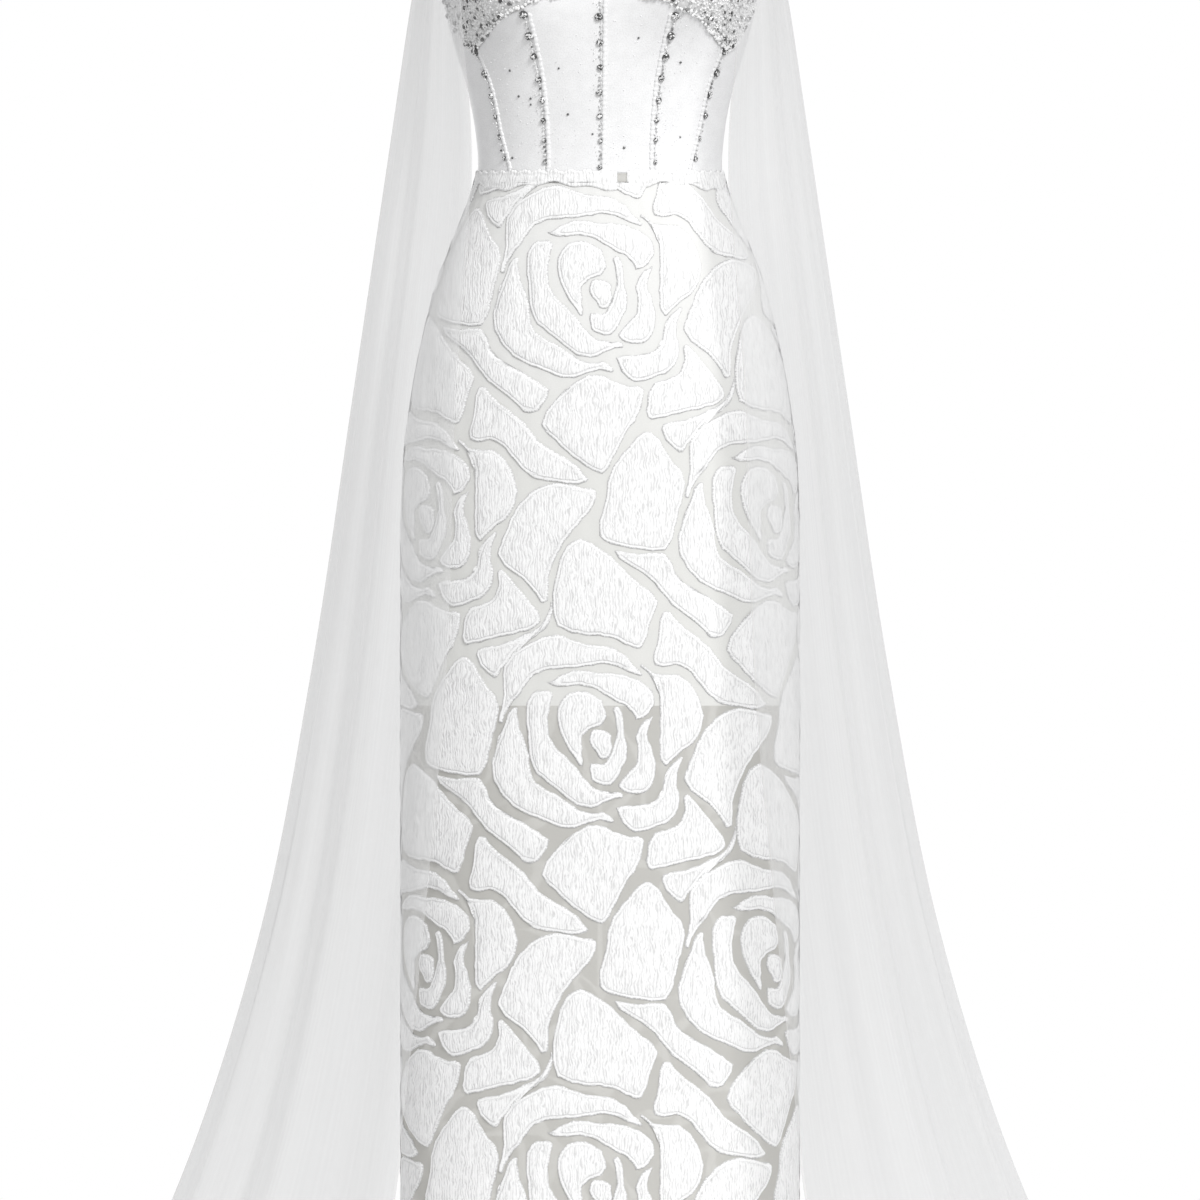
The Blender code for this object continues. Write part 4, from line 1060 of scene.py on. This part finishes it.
def cell_edge(turn):
    """Radius of a rose's cell: half way to the roses beside it and diagonally above and below."""
    tall = ROSE_REPEAT / 2
    diagonal = (ROSE_COLUMN**2 + tall**2) / 2
    across, up = np.abs(np.cos(turn)), np.abs(np.sin(turn))
    return np.minimum(ROSE_COLUMN / np.maximum(across, 1e-6), diagonal / (ROSE_COLUMN * across + tall * up))


def ring_cuts(ring):
    """Angles at which a ring is cut into petals, one more than its petals."""
    _, first, _, shares = ROSE_RINGS[ring]
    return first + 360 * np.concatenate([[0], np.cumsum(shares)]) / sum(shares)


def ring_edge(ring, turn):
    """Radius of a ring's outer edge: each petal bellies out between its cuts, and the last ring fills its
    cell."""
    if ring < 0:
        return np.zeros_like(turn)
    if ring == len(ROSE_RINGS) - 1:
        return cell_edge(turn)
    radius, first, _, _ = ROSE_RINGS[ring]
    if ring == 0:
        return radius * (1 + 0.25 * np.cos(2 * turn))
    cuts = ring_cuts(ring)
    place = np.mod(np.degrees(turn) - first, 360) + first
    i = np.clip(np.searchsorted(cuts, place, side="right") - 1, 0, len(cuts) - 2)
    share = (place - cuts[i]) / (cuts[i + 1] - cuts[i])
    belly = 0.86 + 0.22 * np.sin(np.pi * share) ** 0.75
    return radius * belly * (1 + 0.06 * np.cos(turn - ring)) * (1 + 0.05 * np.cos(2 * turn))


def channel(ring, turn):
    """Width of the sheer channel on a ring's outer edge: two waves round the rose swell and thin it like a
    stroke of a pen."""
    swell = 0.45 + 0.38 * np.sin(turn * 2 + 1.9 * ring) + 0.17 * np.sin(turn * 5 + 4.1 * ring)
    return CHANNEL_NARROW + (CHANNEL_WIDE - CHANNEL_NARROW) * np.clip(swell, 0, 1)


def petal_middle(ring, petal):
    """Angle of a petal's middle and half the angle that it spans."""
    cuts = ring_cuts(ring)
    return (cuts[petal] + cuts[petal + 1]) / 2, (cuts[petal + 1] - cuts[petal]) / 2


def petal_place(ring, petal, along, out):
    """Rose coordinates of a petal: along -1..1 goes round it, out 0..1 from its inner to its outer edge. The
    radius runs between the channels beside it, the angle between its cuts, which slant outwards."""
    middle, half = petal_middle(ring, petal)
    inner, outer = petal_edges(ring, np.radians(middle + half * along))
    gap = PETAL_GAP + GAP_SWING * np.sin(3 * petal + ring + along)
    closing = np.degrees(gap / (inner + (outer - inner) * out))
    turn = np.radians(middle + (half - closing) * along + ROSE_RINGS[ring][2] * out)
    inner, outer = petal_edges(ring, turn)
    radius = inner + (outer - inner) * out
    return radius * np.cos(turn), radius * np.sin(turn)


def petal_edges(ring, turn):
    """Inner and outer radius left for a petal between its channels."""
    inner = ring_edge(ring - 1, turn) + channel(ring - 1, turn) / 2
    return inner, ring_edge(ring, turn) - channel(ring, turn) / 2


def warped(x, y):
    """Bends the repeat gently, the same way in every repeat, so that no two petals of a rose match."""
    across, up = np.zeros_like(x), np.zeros_like(y)
    for reach, wide, tall, start in WARP:
        phase = 2 * np.pi * (wide * x / (2 * ROSE_COLUMN) + tall * y / ROSE_REPEAT) + start
        across = across + reach * np.sin(phase)
        up = up + reach * np.cos(phase + 1.3)
    return x + across, y + up


def rose_centres():
    """Centres of all roses that reach the skirt, in cloth coordinates."""
    return [
        (column * ROSE_COLUMN, ROSE_TOP - row * ROSE_REPEAT - (ROSE_REPEAT / 2 if column % 2 else 0.0))
        for column in range(-4, 5)
        for row in range(-1, 4)
    ]


def cloth_to_angle():
    """Table of the angle reached by a length along the section at each height: lengths are summed round the
    section and read backwards."""
    heights = np.linspace(HEM, 0.0, 60)
    lengths = np.linspace(0, 0.66, 264)
    angle = np.linspace(0, 180, 361)
    table = np.empty((len(heights), len(lengths)))
    for i, height in enumerate(heights):
        steps = np.linalg.norm(np.diff(body(angle, np.full_like(angle, height)), axis=0), axis=1)
        table[i] = np.interp(lengths, np.concatenate([[0.0], np.cumsum(steps)]), angle)
    return heights, lengths, table


HEIGHTS, LENGTHS, ANGLES = cloth_to_angle()


def angle_at(along, height):
    """Angle round the body at a length along the cloth and a height, blended between the table's entries."""
    h = np.clip((height - HEIGHTS[0]) / (HEIGHTS[1] - HEIGHTS[0]), 0, len(HEIGHTS) - 1.001)
    s = np.clip(np.abs(along) / (LENGTHS[1] - LENGTHS[0]), 0, len(LENGTHS) - 1.001)
    i, j = h.astype(int), s.astype(int)
    u, v = h - i, s - j
    low = ANGLES[i, j] * (1 - v) + ANGLES[i, j + 1] * v
    high = ANGLES[i + 1, j] * (1 - v) + ANGLES[i + 1, j + 1] * v
    return np.sign(along) * (low * (1 - u) + high * u)


def rough_outline(ring, petal):
    """Corners of a petal joined along its cuts and channels, or the bud's oval, in cloth coordinates: four
    sides of equal count, first the inner one."""
    if ring == 0:
        turn = np.linspace(0, 2 * np.pi, 4 * SIDE_POINTS, endpoint=False) - 0.75 * np.pi
        radius = ROSE_RINGS[0][0]
        x, y = radius * BUD_WIDE * np.cos(turn), radius * BUD_TALL * np.sin(turn)
    else:
        side = np.linspace(-1, 1, SIDE_POINTS + 1)[:-1]
        one = np.ones(SIDE_POINTS)
        along = np.concatenate([side, one, -side, -one])
        out = np.concatenate([0 * one, (side + 1) / 2, one, (1 - side) / 2])
        x, y = petal_place(ring, petal, along, out)
    return np.stack(warped(x, y + ROSE_TOP), -1)


def round_outline(rough, ring, petal):
    """A rough outline spaced evenly, its corners rounded by a bell-shaped average along the loop, then moved
    in and out in small waves and a few wide ones. Gives the loop, the shares of its length at the four
    corners, and the length."""
    closed = np.concatenate([rough, rough[:1]])
    reach = np.concatenate([[0.0], np.cumsum(np.linalg.norm(np.diff(closed, axis=0), axis=1))])
    total = reach[-1]
    even = np.arange(LOOP_POINTS) * total / LOOP_POINTS
    loop = np.stack([np.interp(even, reach, closed[:, k]) for k in (0, 1)], -1)
    waves = np.fft.fftfreq(LOOP_POINTS, total / LOOP_POINTS)
    bell = np.exp(-2 * (np.pi * waves * min(MOST_ROUNDING, ROUNDING * total)) ** 2)
    loop = np.fft.ifft(np.fft.fft(loop, axis=0) * bell[:, None], axis=0).real
    ahead = np.roll(loop, -1, axis=0) - np.roll(loop, 1, axis=0)
    outward = np.stack([ahead[:, 1], -ahead[:, 0]], -1) / np.linalg.norm(ahead, axis=1)[:, None]
    count = max(3, round(total / WAVE_LENGTH))
    turn = 2 * np.pi * even / total
    wobble = np.sin(count * turn + ring + petal) + 0.6 * np.sin(round(1.7 * count) * turn + 2 * petal)
    sway = np.sin(max(2, round(total / SWAY_LENGTH)) * turn + 2.4 * petal + 1.1 * ring)
    moved = outward * (WAVE_REACH * wobble + SWAY_REACH * sway)[:, None]
    return loop + moved, reach[::SIDE_POINTS][:4] / total, total


def crowded(size, step):
    """Shares of a length: close together at both ends, for the border and its stitch line, wider between."""
    offsets = np.array([row[0] for row in PETAL_PROFILE])
    border = offsets * min(1, size / (2.4 * offsets[-1]))
    count = max(3, round((size - 2 * border[-1]) / step))
    inside = np.linspace(border[-1], size - border[-1], count + 1)[1:-1]
    return np.concatenate([border, inside, size - border[::-1]]) / size


def petal_grid(ring, petal):
    """One petal in the cloth coordinates of the first rose: a grid blended between the four sides of its
    outline, each point the sum of what opposite sides give, less what the corners alone give."""
    loop, corners, total = round_outline(rough_outline(ring, petal), ring, petal)
    places = np.arange(LOOP_POINTS) / LOOP_POINTS
    _, second, third, fourth = corners
    along = crowded(total * (second + fourth - third) / 2, PETAL_STEP)
    out = crowded(total * (third - second + 1 - fourth) / 2, PETAL_STEP * 1.5)

    def side(start, end, share):
        at = start + (end - start) * share
        return np.stack([np.interp(at, places, loop[:, k], period=1) for k in (0, 1)], -1)

    inner, outer = side(0, second, along), side(fourth, third, along)
    start, end = side(1, fourth, out), side(second, third, out)
    u, v = along[None, :, None], out[:, None, None]
    sides = (1 - v) * inner + v * outer + (1 - u) * start[:, None] + u * end[:, None]
    flat = (1 - v) * ((1 - u) * inner[0] + u * inner[-1]) + v * ((1 - u) * outer[0] + u * outer[-1])
    grid = sides - flat
    return grid[..., 0], grid[..., 1]


def from_outline(x, y):
    """Distance of each point of a grid from the nearest stretch of the grid's own outline."""
    x_loop = np.concatenate([x[0, :], x[1:, -1], x[-1, -2::-1], x[-2:0:-1, 0]])
    y_loop = np.concatenate([y[0, :], y[1:, -1], y[-1, -2::-1], y[-2:0:-1, 0]])
    loop = np.stack([x_loop, y_loop], -1)
    step = np.roll(loop, -1, axis=0) - loop
    place = np.stack([x.ravel(), y.ravel()], -1)[:, None] - loop
    share = np.clip((place * step).sum(-1) / np.maximum((step**2).sum(-1), 1e-14), 0, 1)
    return np.linalg.norm(place - share[..., None] * step, axis=-1).min(1).reshape(x.shape)


def waist_strip(low_angle, high_angle):
    """The cloth's ragged upper edge over the waist seam: angles and heights of a narrow strip whose two edges
    wave."""
    columns = int((high_angle - low_angle) * 1.2)
    angle = np.linspace(low_angle, high_angle, columns)[None, :]
    top = 0.0030 + 0.0010 * np.sin(angle * 0.8) + 0.0006 * np.sin(angle * 2.3)
    foot = -0.0125 - 0.0030 * np.sin(angle * 0.11 + 1) - 0.0015 * np.sin(angle * 0.37)
    share = np.array(STRIP_ROWS)[:, None]
    return np.broadcast_to(angle, (len(share), columns)), foot + (top - foot) * share


def petal_grids():
    """Every petal and waist strip as grids: angle, kept height, length along the cloth, height, distance from
    its own edge, and what is added to that distance."""
    for ring, row in enumerate(ROSE_RINGS):
        for petal in range(len(row[3])):
            x, y = petal_grid(ring, petal)
            edge = from_outline(x, y)
            for centre_x, centre_y in rose_centres():
                along, height = x + centre_x, y + centre_y - ROSE_TOP
                kept_height = np.clip(height, HEM + HEM_GAP, PETAL_TOP)
                yield angle_at(along, height), kept_height, along, height, edge, 0.0
    for low, high in WAIST_STRIPS:
        angle, height = waist_strip(low, high)
        along = np.radians(angle) * WAIST_RADIUS
        yield angle, height, along, height, from_outline(along, height), STRIP_BORDER


def petals_between(low_angle, high_angle):
    """All petals on a stretch of the skirt: points, faces, cloth coordinates and distances from their edges.
    Points past a seam are pulled back to it, and the faces that this flattens are dropped."""
    points, faces, uv, edges = [], [], [], []
    count = 0
    offsets, rise = np.array(PETAL_PROFILE).T
    for angle, kept_height, along, height, edge, border in petal_grids():
        kept_angle = np.clip(angle, low_angle, high_angle)
        if np.ptp(kept_angle) < LEAST_ANGLE or np.ptp(kept_height) < LEAST_HEIGHT:
            continue
        puff = PUFF * np.sin(along * 260 + 2 * np.sin(height * 90)) * np.sin(height * 120)
        lift = np.interp(edge, offsets, rise) + puff * np.clip(edge / 0.008 - 0.4, 0, 1)
        grid = body(kept_angle, kept_height, lift + (STRIP_LIFT if border else 0.0))
        quads = grid_faces(*grid.shape[:2])
        flat = grid.reshape(-1, 3)
        a, b, c, d = (flat[quads[:, k]] for k in range(4))
        quads = quads[np.linalg.norm(np.cross(c - a, d - b), axis=1) > LEAST_QUAD]
        if not len(quads):
            continue
        points.append(flat)
        faces.append(quads + count)
        uv.append(np.stack([along, height], -1).reshape(-1, 2))
        edges.append(edge.ravel() + border)
        count += len(flat)
    return np.concatenate(points), np.concatenate(faces), np.concatenate(uv), np.concatenate(edges)


def facing_out(points, faces):
    """The same quads, each turned round where it faces the middle of the body."""
    a, b, c, d = (points[faces[:, k]] for k in range(4))
    normal = np.cross(c - a, d - b)
    middle = (a + b + c + d) / 4
    inward = (normal[:, :2] * middle[:, :2]).sum(1) < 0
    faces = faces.copy()
    faces[inward] = faces[inward][:, ::-1]
    return faces


def make_skirt():
    """Sheer ground with raised petals on it, panel by panel, and a narrow turned hem."""
    for node, low, high, cols in SKIRT_PANELS:
        gap = BACK_GAP if 180 in (-low, high) else SIDE_GAP
        points, faces, uv, edge = petals_between(low + gap, high - gap)
        values = {"edge": edge, "edge_share": np.clip(edge / 0.006, 0, 1)}
        petals = mesh_from(node + "_petals", points, facing_out(points, faces), uv, values)
        dressed(petals, "raised petal")
        angle, height = np.meshgrid(np.linspace(low, high, cols + 1), np.linspace(HEM, 0.0, 150))
        seam = np.minimum(angle - low, high - angle) * METRES_A_DEGREE
        ripple = GROUND_RIPPLE * np.sin(angle * 0.9 + 8 * height) * np.sin(height * 60)
        sink = -GROUND_SINK * np.exp(-((seam / 0.0015) ** 2))
        grid = body(angle, height, sink + ripple * (1 - np.exp(-seam / 0.01)))
        ground = grid_piece(node + "_ground", grid, "sheer ground", node)
        declare_cloth(ground, grid)
        make_hem(node, low, high, cols)


def make_hem(node, low, high, cols):
    """The skirt's turned edge: a shallow band, thicker than the ground."""
    out, rise = np.array(HEM_PROFILE).T
    angle = np.linspace(low, high, cols + 1)
    grid_piece(node + "_hem", body(angle[None, :], HEM + rise[:, None], out[:, None]), "matt lining")


def make_lining():
    """Short lining, hanging a little loose of the skirt, with a turned hem that shows through the cloth."""
    for node, low, high in (("lining_front", -90, 90), ("lining_back", 90, 270)):
        angle, height = np.meshgrid(np.linspace(low, high, 91), np.linspace(LINING_HEM, 0.0, 60))
        drop = np.clip(-height / 0.5, 0, 1)
        sway = LINING_SWAY * np.sin(np.radians(angle) * 9) * drop**2
        band = LINING_BAND * (height < LINING_HEM + LINING_TURN)
        grid = body(angle, height, -LINING_IN - LINING_LOOSE * drop + sway + band)
        piece = thickened(grid_piece(node + "_cloth", grid, "matt lining", node), LINING_WALL)
        declare_cloth(piece, grid)


# Tulle and straps


def strap_ends(side):
    """Where lines of the strap, this far from its middle, meet the cup's edge and the back's edge."""
    front_angle = STRAP_FRONT_ANGLE + np.degrees(side / CHEST_RADIUS)
    back_angle = STRAP_BACK_ANGLE - np.degrees(side / BACK_RADIUS)
    front = body(front_angle, smooth_table(NECKLINE, 1, front_angle), -STRAP_SINK)
    return front, body(back_angle, smooth_table(BACK_EDGE, 1, back_angle), -STRAP_SINK)


def strap_line(side, turn, behind):
    """Points of those lines: a quarter oval from the foot in front or behind, at turn 0, to the top of the
    shoulder, at 90 degrees."""
    front, back = strap_ends(side)
    x, y, z = np.moveaxis(np.where(behind[..., None], back, front), -1, 0)
    top = STRAP_SHOULDER_X + side
    rise = np.sin(turn)
    return np.stack([x + (top - x) * rise**2, y * np.cos(turn), z + (SHOULDER - z) * rise], axis=-1)


def make_straps():
    """Folded satin straps with a line of stitches near each edge."""
    rows, cols = 90, 15
    side = (np.arange(cols) / (cols - 1) - 0.5) * STRAP_WIDTH
    turn = (np.pi * np.arange(rows) / (rows - 1))[:, None]
    grid = strap_line(side, np.minimum(turn, np.pi - turn), turn > np.pi / 2)
    from_edge = np.minimum(np.arange(cols), np.arange(cols)[::-1])
    lift = np.where(from_edge == 0, 0.0004, np.where(from_edge == 2, 0.0006, 0.0010))
    grid = grid + normals_of(grid) * lift[None, :, None]
    for _, side, points in both_sides(grid):
        piece = thickened(grid_piece(f"strap_{side}_cloth", points, "satin net", f"strap_{side}"), STRAP_WALL)
        declare_cloth(piece, points)


def tulle_folds(share, height, depth):
    """How far the folds stand out: broad ones that drift apart, fine ones between them, none past the outer
    line and fewer at the side."""
    side = share - 0.5
    drift = FOLD_DRIFT * (np.sin(5.0 * side) + 0.6 * np.sin(11.0 * side))
    broad = depth * (np.cos(2 * np.pi * TULLE_FOLDS * side + 2 * drift) - 1)
    swing = 2.2 * np.sin(4 * height) + 3 * share
    fine = FINE_SHARE * depth * (np.cos(2 * np.pi * FINE_FOLDS * side + swing) - 1)
    calm = 1 - TULLE_SIDE_CALM * np.exp(-((side / TULLE_SIDE_WIDTH) ** 2))
    return (broad + fine * np.sin(share * np.pi)) * calm


def tulle_grid(rows=120, cols=240):
    """Surface of the wearer's left tulle panel: at each height two quarter ovals from the front edge to the
    outermost line and on to the back edge, with folds that deepen towards the hem, its top drawn to the
    strap's outer edge."""
    share = np.linspace(0, 1, cols)
    height = np.linspace(HEM + 0.0005, SHOULDER, rows)[:, None]
    columns = [smooth_table(TULLE, k, height) for k in range(1, 8)]
    front_x, front_y, side_x, side_y, back_x, back_y, depth = columns
    turn = share * np.pi
    in_front = share <= 0.5
    fold = tulle_folds(share, height, depth)
    base_x = np.where(in_front, front_x, back_x)
    reach_y = np.where(in_front, side_y - front_y, back_y - side_y)
    x = base_x + (side_x - base_x) * np.sin(turn) + fold * np.sin(turn)
    y = side_y - (reach_y + fold) * np.cos(turn)
    grid = np.stack([x, y, np.broadcast_to(height, x.shape)], axis=-1)
    edge, behind = STRAP_WIDTH / 2, y[-1] > 0
    front, back = strap_ends(edge)
    top = strap_line(edge, np.arccos(y[-1] / np.where(behind, back[1], front[1])), behind)
    target = np.stack([top[:, 0] + 0.0006, y[-1], top[:, 2] + 0.0008], axis=-1)
    pull = np.linspace(0, 1, rows)[:, None, None] ** 6
    return grid + (target - grid[-1]) * pull


def make_tulle():
    """One sheer panel from each shoulder."""
    grid = tulle_grid()
    share = np.broadcast_to(np.linspace(0, 1, grid.shape[1]), grid.shape[:2])
    for hand, side, points in both_sides(grid):
        across = {"share": share[:, ::hand].ravel()}
        piece = grid_piece(f"tulle_{side}_net", points, "soft tulle", f"tulle_{side}", across)
        declare_cloth(piece, points)


# Zip


def make_zip():
    """Placket over the closed zip with its stitches, and lacquer on the slider and tab."""
    height = np.linspace(ZIP_FOOT, BACK_TOP - 0.002, 120)[:, None]
    across = np.linspace(-1, 1, 13)
    half = math.degrees(PLACKET_HALF / PLACKET_RADIUS)
    crown = np.where(np.abs(across) > 0.95, 0.0004, np.where(np.abs(across) < 0.1, 0.0009, 0.0014))
    grid = body(180 + across * half, height, np.broadcast_to(crown, (len(height), len(across))))
    grid_piece("zip_placket_cloth", grid, "satin net", "zip_placket")
    for node in ("zip_slider", "zip_pull_tab"):
        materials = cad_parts[node].data.materials
        materials.clear()
        materials.append(finish_of("zip lacquer"))


# Studio


def make_room():
    """White room, plain white behind the gown, with a soft key, a faint fill and a light behind."""
    settings = bpy.context.scene.gown
    world = bpy.data.worlds.new("white room")
    bpy.context.scene.world = world
    world.use_nodes = True
    tree = world.node_tree
    room = tree.nodes["Background"]
    plug(tree, WHITE, room.inputs["Color"])
    plug(tree, settings.room_light, room.inputs["Strength"])
    seen = add_node(tree, "Background", Color=WHITE, Strength=1.0).outputs[0]
    to_camera = add_node(tree, "LightPath").outputs["Is Camera Ray"]
    surface = fed(tree, "MixShader", to_camera, room.outputs[0], seen)
    plug(tree, surface, tree.nodes["World Output"].inputs["Surface"])
    for name, place, size, share in LAMPS:
        lamp = bpy.data.lights.new(name, "AREA")
        lamp.energy = settings.key_light * share
        lamp.size = size
        holder = bpy.data.objects.new(name, lamp)
        holder.location = place
        aim = np.array(LAMP_AIM) - place
        tip = math.acos(-aim[2] / np.linalg.norm(aim))
        holder.rotation_euler = (tip, 0, math.atan2(aim[1], aim[0]) - math.pi / 2)
        bpy.context.collection.objects.link(holder)


def make_floor():
    """Round pale floor just under the hem, in rings of quads."""
    turn = np.linspace(0, 2 * np.pi, FLOOR_SIDES, endpoint=False)
    reach = FLOOR_RADIUS * np.linspace(0.02, 1, FLOOR_RINGS)[:, None]
    x, y = reach * np.cos(turn), reach * np.sin(turn) + FLOOR_BACK
    points = np.stack([x, y, np.full(x.shape, HEM - FLOOR_DROP)], -1)
    index = np.arange(x.size).reshape(x.shape)
    after = np.roll(index, -1, axis=1)
    faces = np.stack([index[:-1], index[1:], after[1:], after[:-1]], -1).reshape(-1, 4)
    floor = mesh_from("studio_floor", points.reshape(-1, 3), faces)
    floor.data.materials.append(floor_finish("pale floor"))
    floor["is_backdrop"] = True


def make_studio():
    """White room with its lights, a pale floor and the camera at the photograph's view."""
    make_room()
    make_floor()
    scene = bpy.context.scene
    lens = bpy.data.cameras.new("camera")
    lens.sensor_width = SENSOR
    lens.lens = SENSOR * CAMERA_DISTANCE / (PHOTO_SIZE * PIXEL)
    camera = bpy.data.objects.new("camera", lens)
    camera.location = (0, -CAMERA_DISTANCE, (WAIST_PIXEL - PHOTO_SIZE / 2) * PIXEL)
    camera.rotation_euler = (math.pi / 2, 0, 0)
    bpy.context.collection.objects.link(camera)
    scene.camera = camera
    scene.view_settings.view_transform = "Standard"
    scene.view_settings.look = "None"


class GOWN_OT_corset(bpy.types.Operator):
    """Makes the ten cloth panels of the corset"""

    bl_idname = "gown.corset"
    bl_label = "Corset panels"

    def execute(self, context):
        make_corset()
        return {"FINISHED"}


class GOWN_OT_piping(bpy.types.Operator):
    """Makes the cords beside the beaded seams"""

    bl_idname = "gown.piping"
    bl_label = "Piping"

    def execute(self, context):
        make_piping()
        return {"FINISHED"}


class GOWN_OT_beading(bpy.types.Operator):
    """Sews stones and seed beads along the front seams"""

    bl_idname = "gown.beading"
    bl_label = "Beaded seams"

    def execute(self, context):
        make_beading()
        return {"FINISHED"}


class GOWN_OT_loose_beads(bpy.types.Operator):
    """Scatters tiny beads on the corset"""

    bl_idname = "gown.loose_beads"
    bl_label = "Loose beads"

    def execute(self, context):
        make_loose_beads()
        return {"FINISHED"}


class GOWN_OT_cups(bpy.types.Operator):
    """Makes the encrusted cups"""

    bl_idname = "gown.cups"
    bl_label = "Cups"

    def execute(self, context):
        make_cups()
        return {"FINISHED"}


class GOWN_OT_skirt(bpy.types.Operator):
    """Makes the skirt's sheer ground and raised petals"""

    bl_idname = "gown.skirt"
    bl_label = "Rose skirt"

    def execute(self, context):
        make_skirt()
        return {"FINISHED"}


class GOWN_OT_lining(bpy.types.Operator):
    """Makes the short lining"""

    bl_idname = "gown.lining"
    bl_label = "Lining"

    def execute(self, context):
        make_lining()
        return {"FINISHED"}


class GOWN_OT_straps(bpy.types.Operator):
    """Makes the shoulder straps"""

    bl_idname = "gown.straps"
    bl_label = "Straps"

    def execute(self, context):
        make_straps()
        return {"FINISHED"}


class GOWN_OT_tulle(bpy.types.Operator):
    """Hangs the tulle from the shoulders"""

    bl_idname = "gown.tulle"
    bl_label = "Tulle panels"

    def execute(self, context):
        make_tulle()
        return {"FINISHED"}


class GOWN_OT_zip(bpy.types.Operator):
    """Covers the closed zip and finishes its metal"""

    bl_idname = "gown.zip"
    bl_label = "Zip"

    def execute(self, context):
        make_zip()
        return {"FINISHED"}


class GOWN_OT_studio(bpy.types.Operator):
    """Makes the room, lights, floor and camera"""

    bl_idname = "gown.studio"
    bl_label = "Studio"

    def execute(self, context):
        make_studio()
        return {"FINISHED"}


OPERATORS = (
    GOWN_OT_corset,
    GOWN_OT_piping,
    GOWN_OT_beading,
    GOWN_OT_loose_beads,
    GOWN_OT_cups,
    GOWN_OT_skirt,
    GOWN_OT_lining,
    GOWN_OT_straps,
    GOWN_OT_tulle,
    GOWN_OT_zip,
    GOWN_OT_studio,
)


class GOWN_PT_panel(bpy.types.Panel):
    """Lists the gown's settings and makers."""

    bl_idname = "GOWN_PT_panel"
    bl_label = "Gown"
    bl_space_type = "VIEW_3D"
    bl_region_type = "UI"
    bl_category = "Gown"

    def draw(self, context):
        for key in GownSettings.__annotations__:
            self.layout.prop(context.scene.gown, key)
        for made in OPERATORS:
            self.layout.operator(made.bl_idname)


CLASSES = (GownSettings, *OPERATORS, GOWN_PT_panel)


def register():
    for made in CLASSES:
        bpy.utils.register_class(made)
    bpy.types.Scene.gown = bpy.props.PointerProperty(type=GownSettings)


def unregister():
    del bpy.types.Scene.gown
    for made in reversed(CLASSES):
        bpy.utils.unregister_class(made)


def main():
    register()
    bpy.ops.gown.corset()
    bpy.ops.gown.piping()
    bpy.ops.gown.beading()
    bpy.ops.gown.loose_beads()
    bpy.ops.gown.cups()
    bpy.ops.gown.skirt()
    bpy.ops.gown.lining()
    bpy.ops.gown.straps()
    bpy.ops.gown.tulle()
    bpy.ops.gown.zip()
    bpy.ops.gown.studio()
    boxes = {"cad": (CAD_LOW, CAD_HIGH), "visual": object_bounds()}
    sizes = {key: [[float(value) for value in corner] for corner in box] for key, box in boxes.items()}


if __name__ == "__main__":
    main()
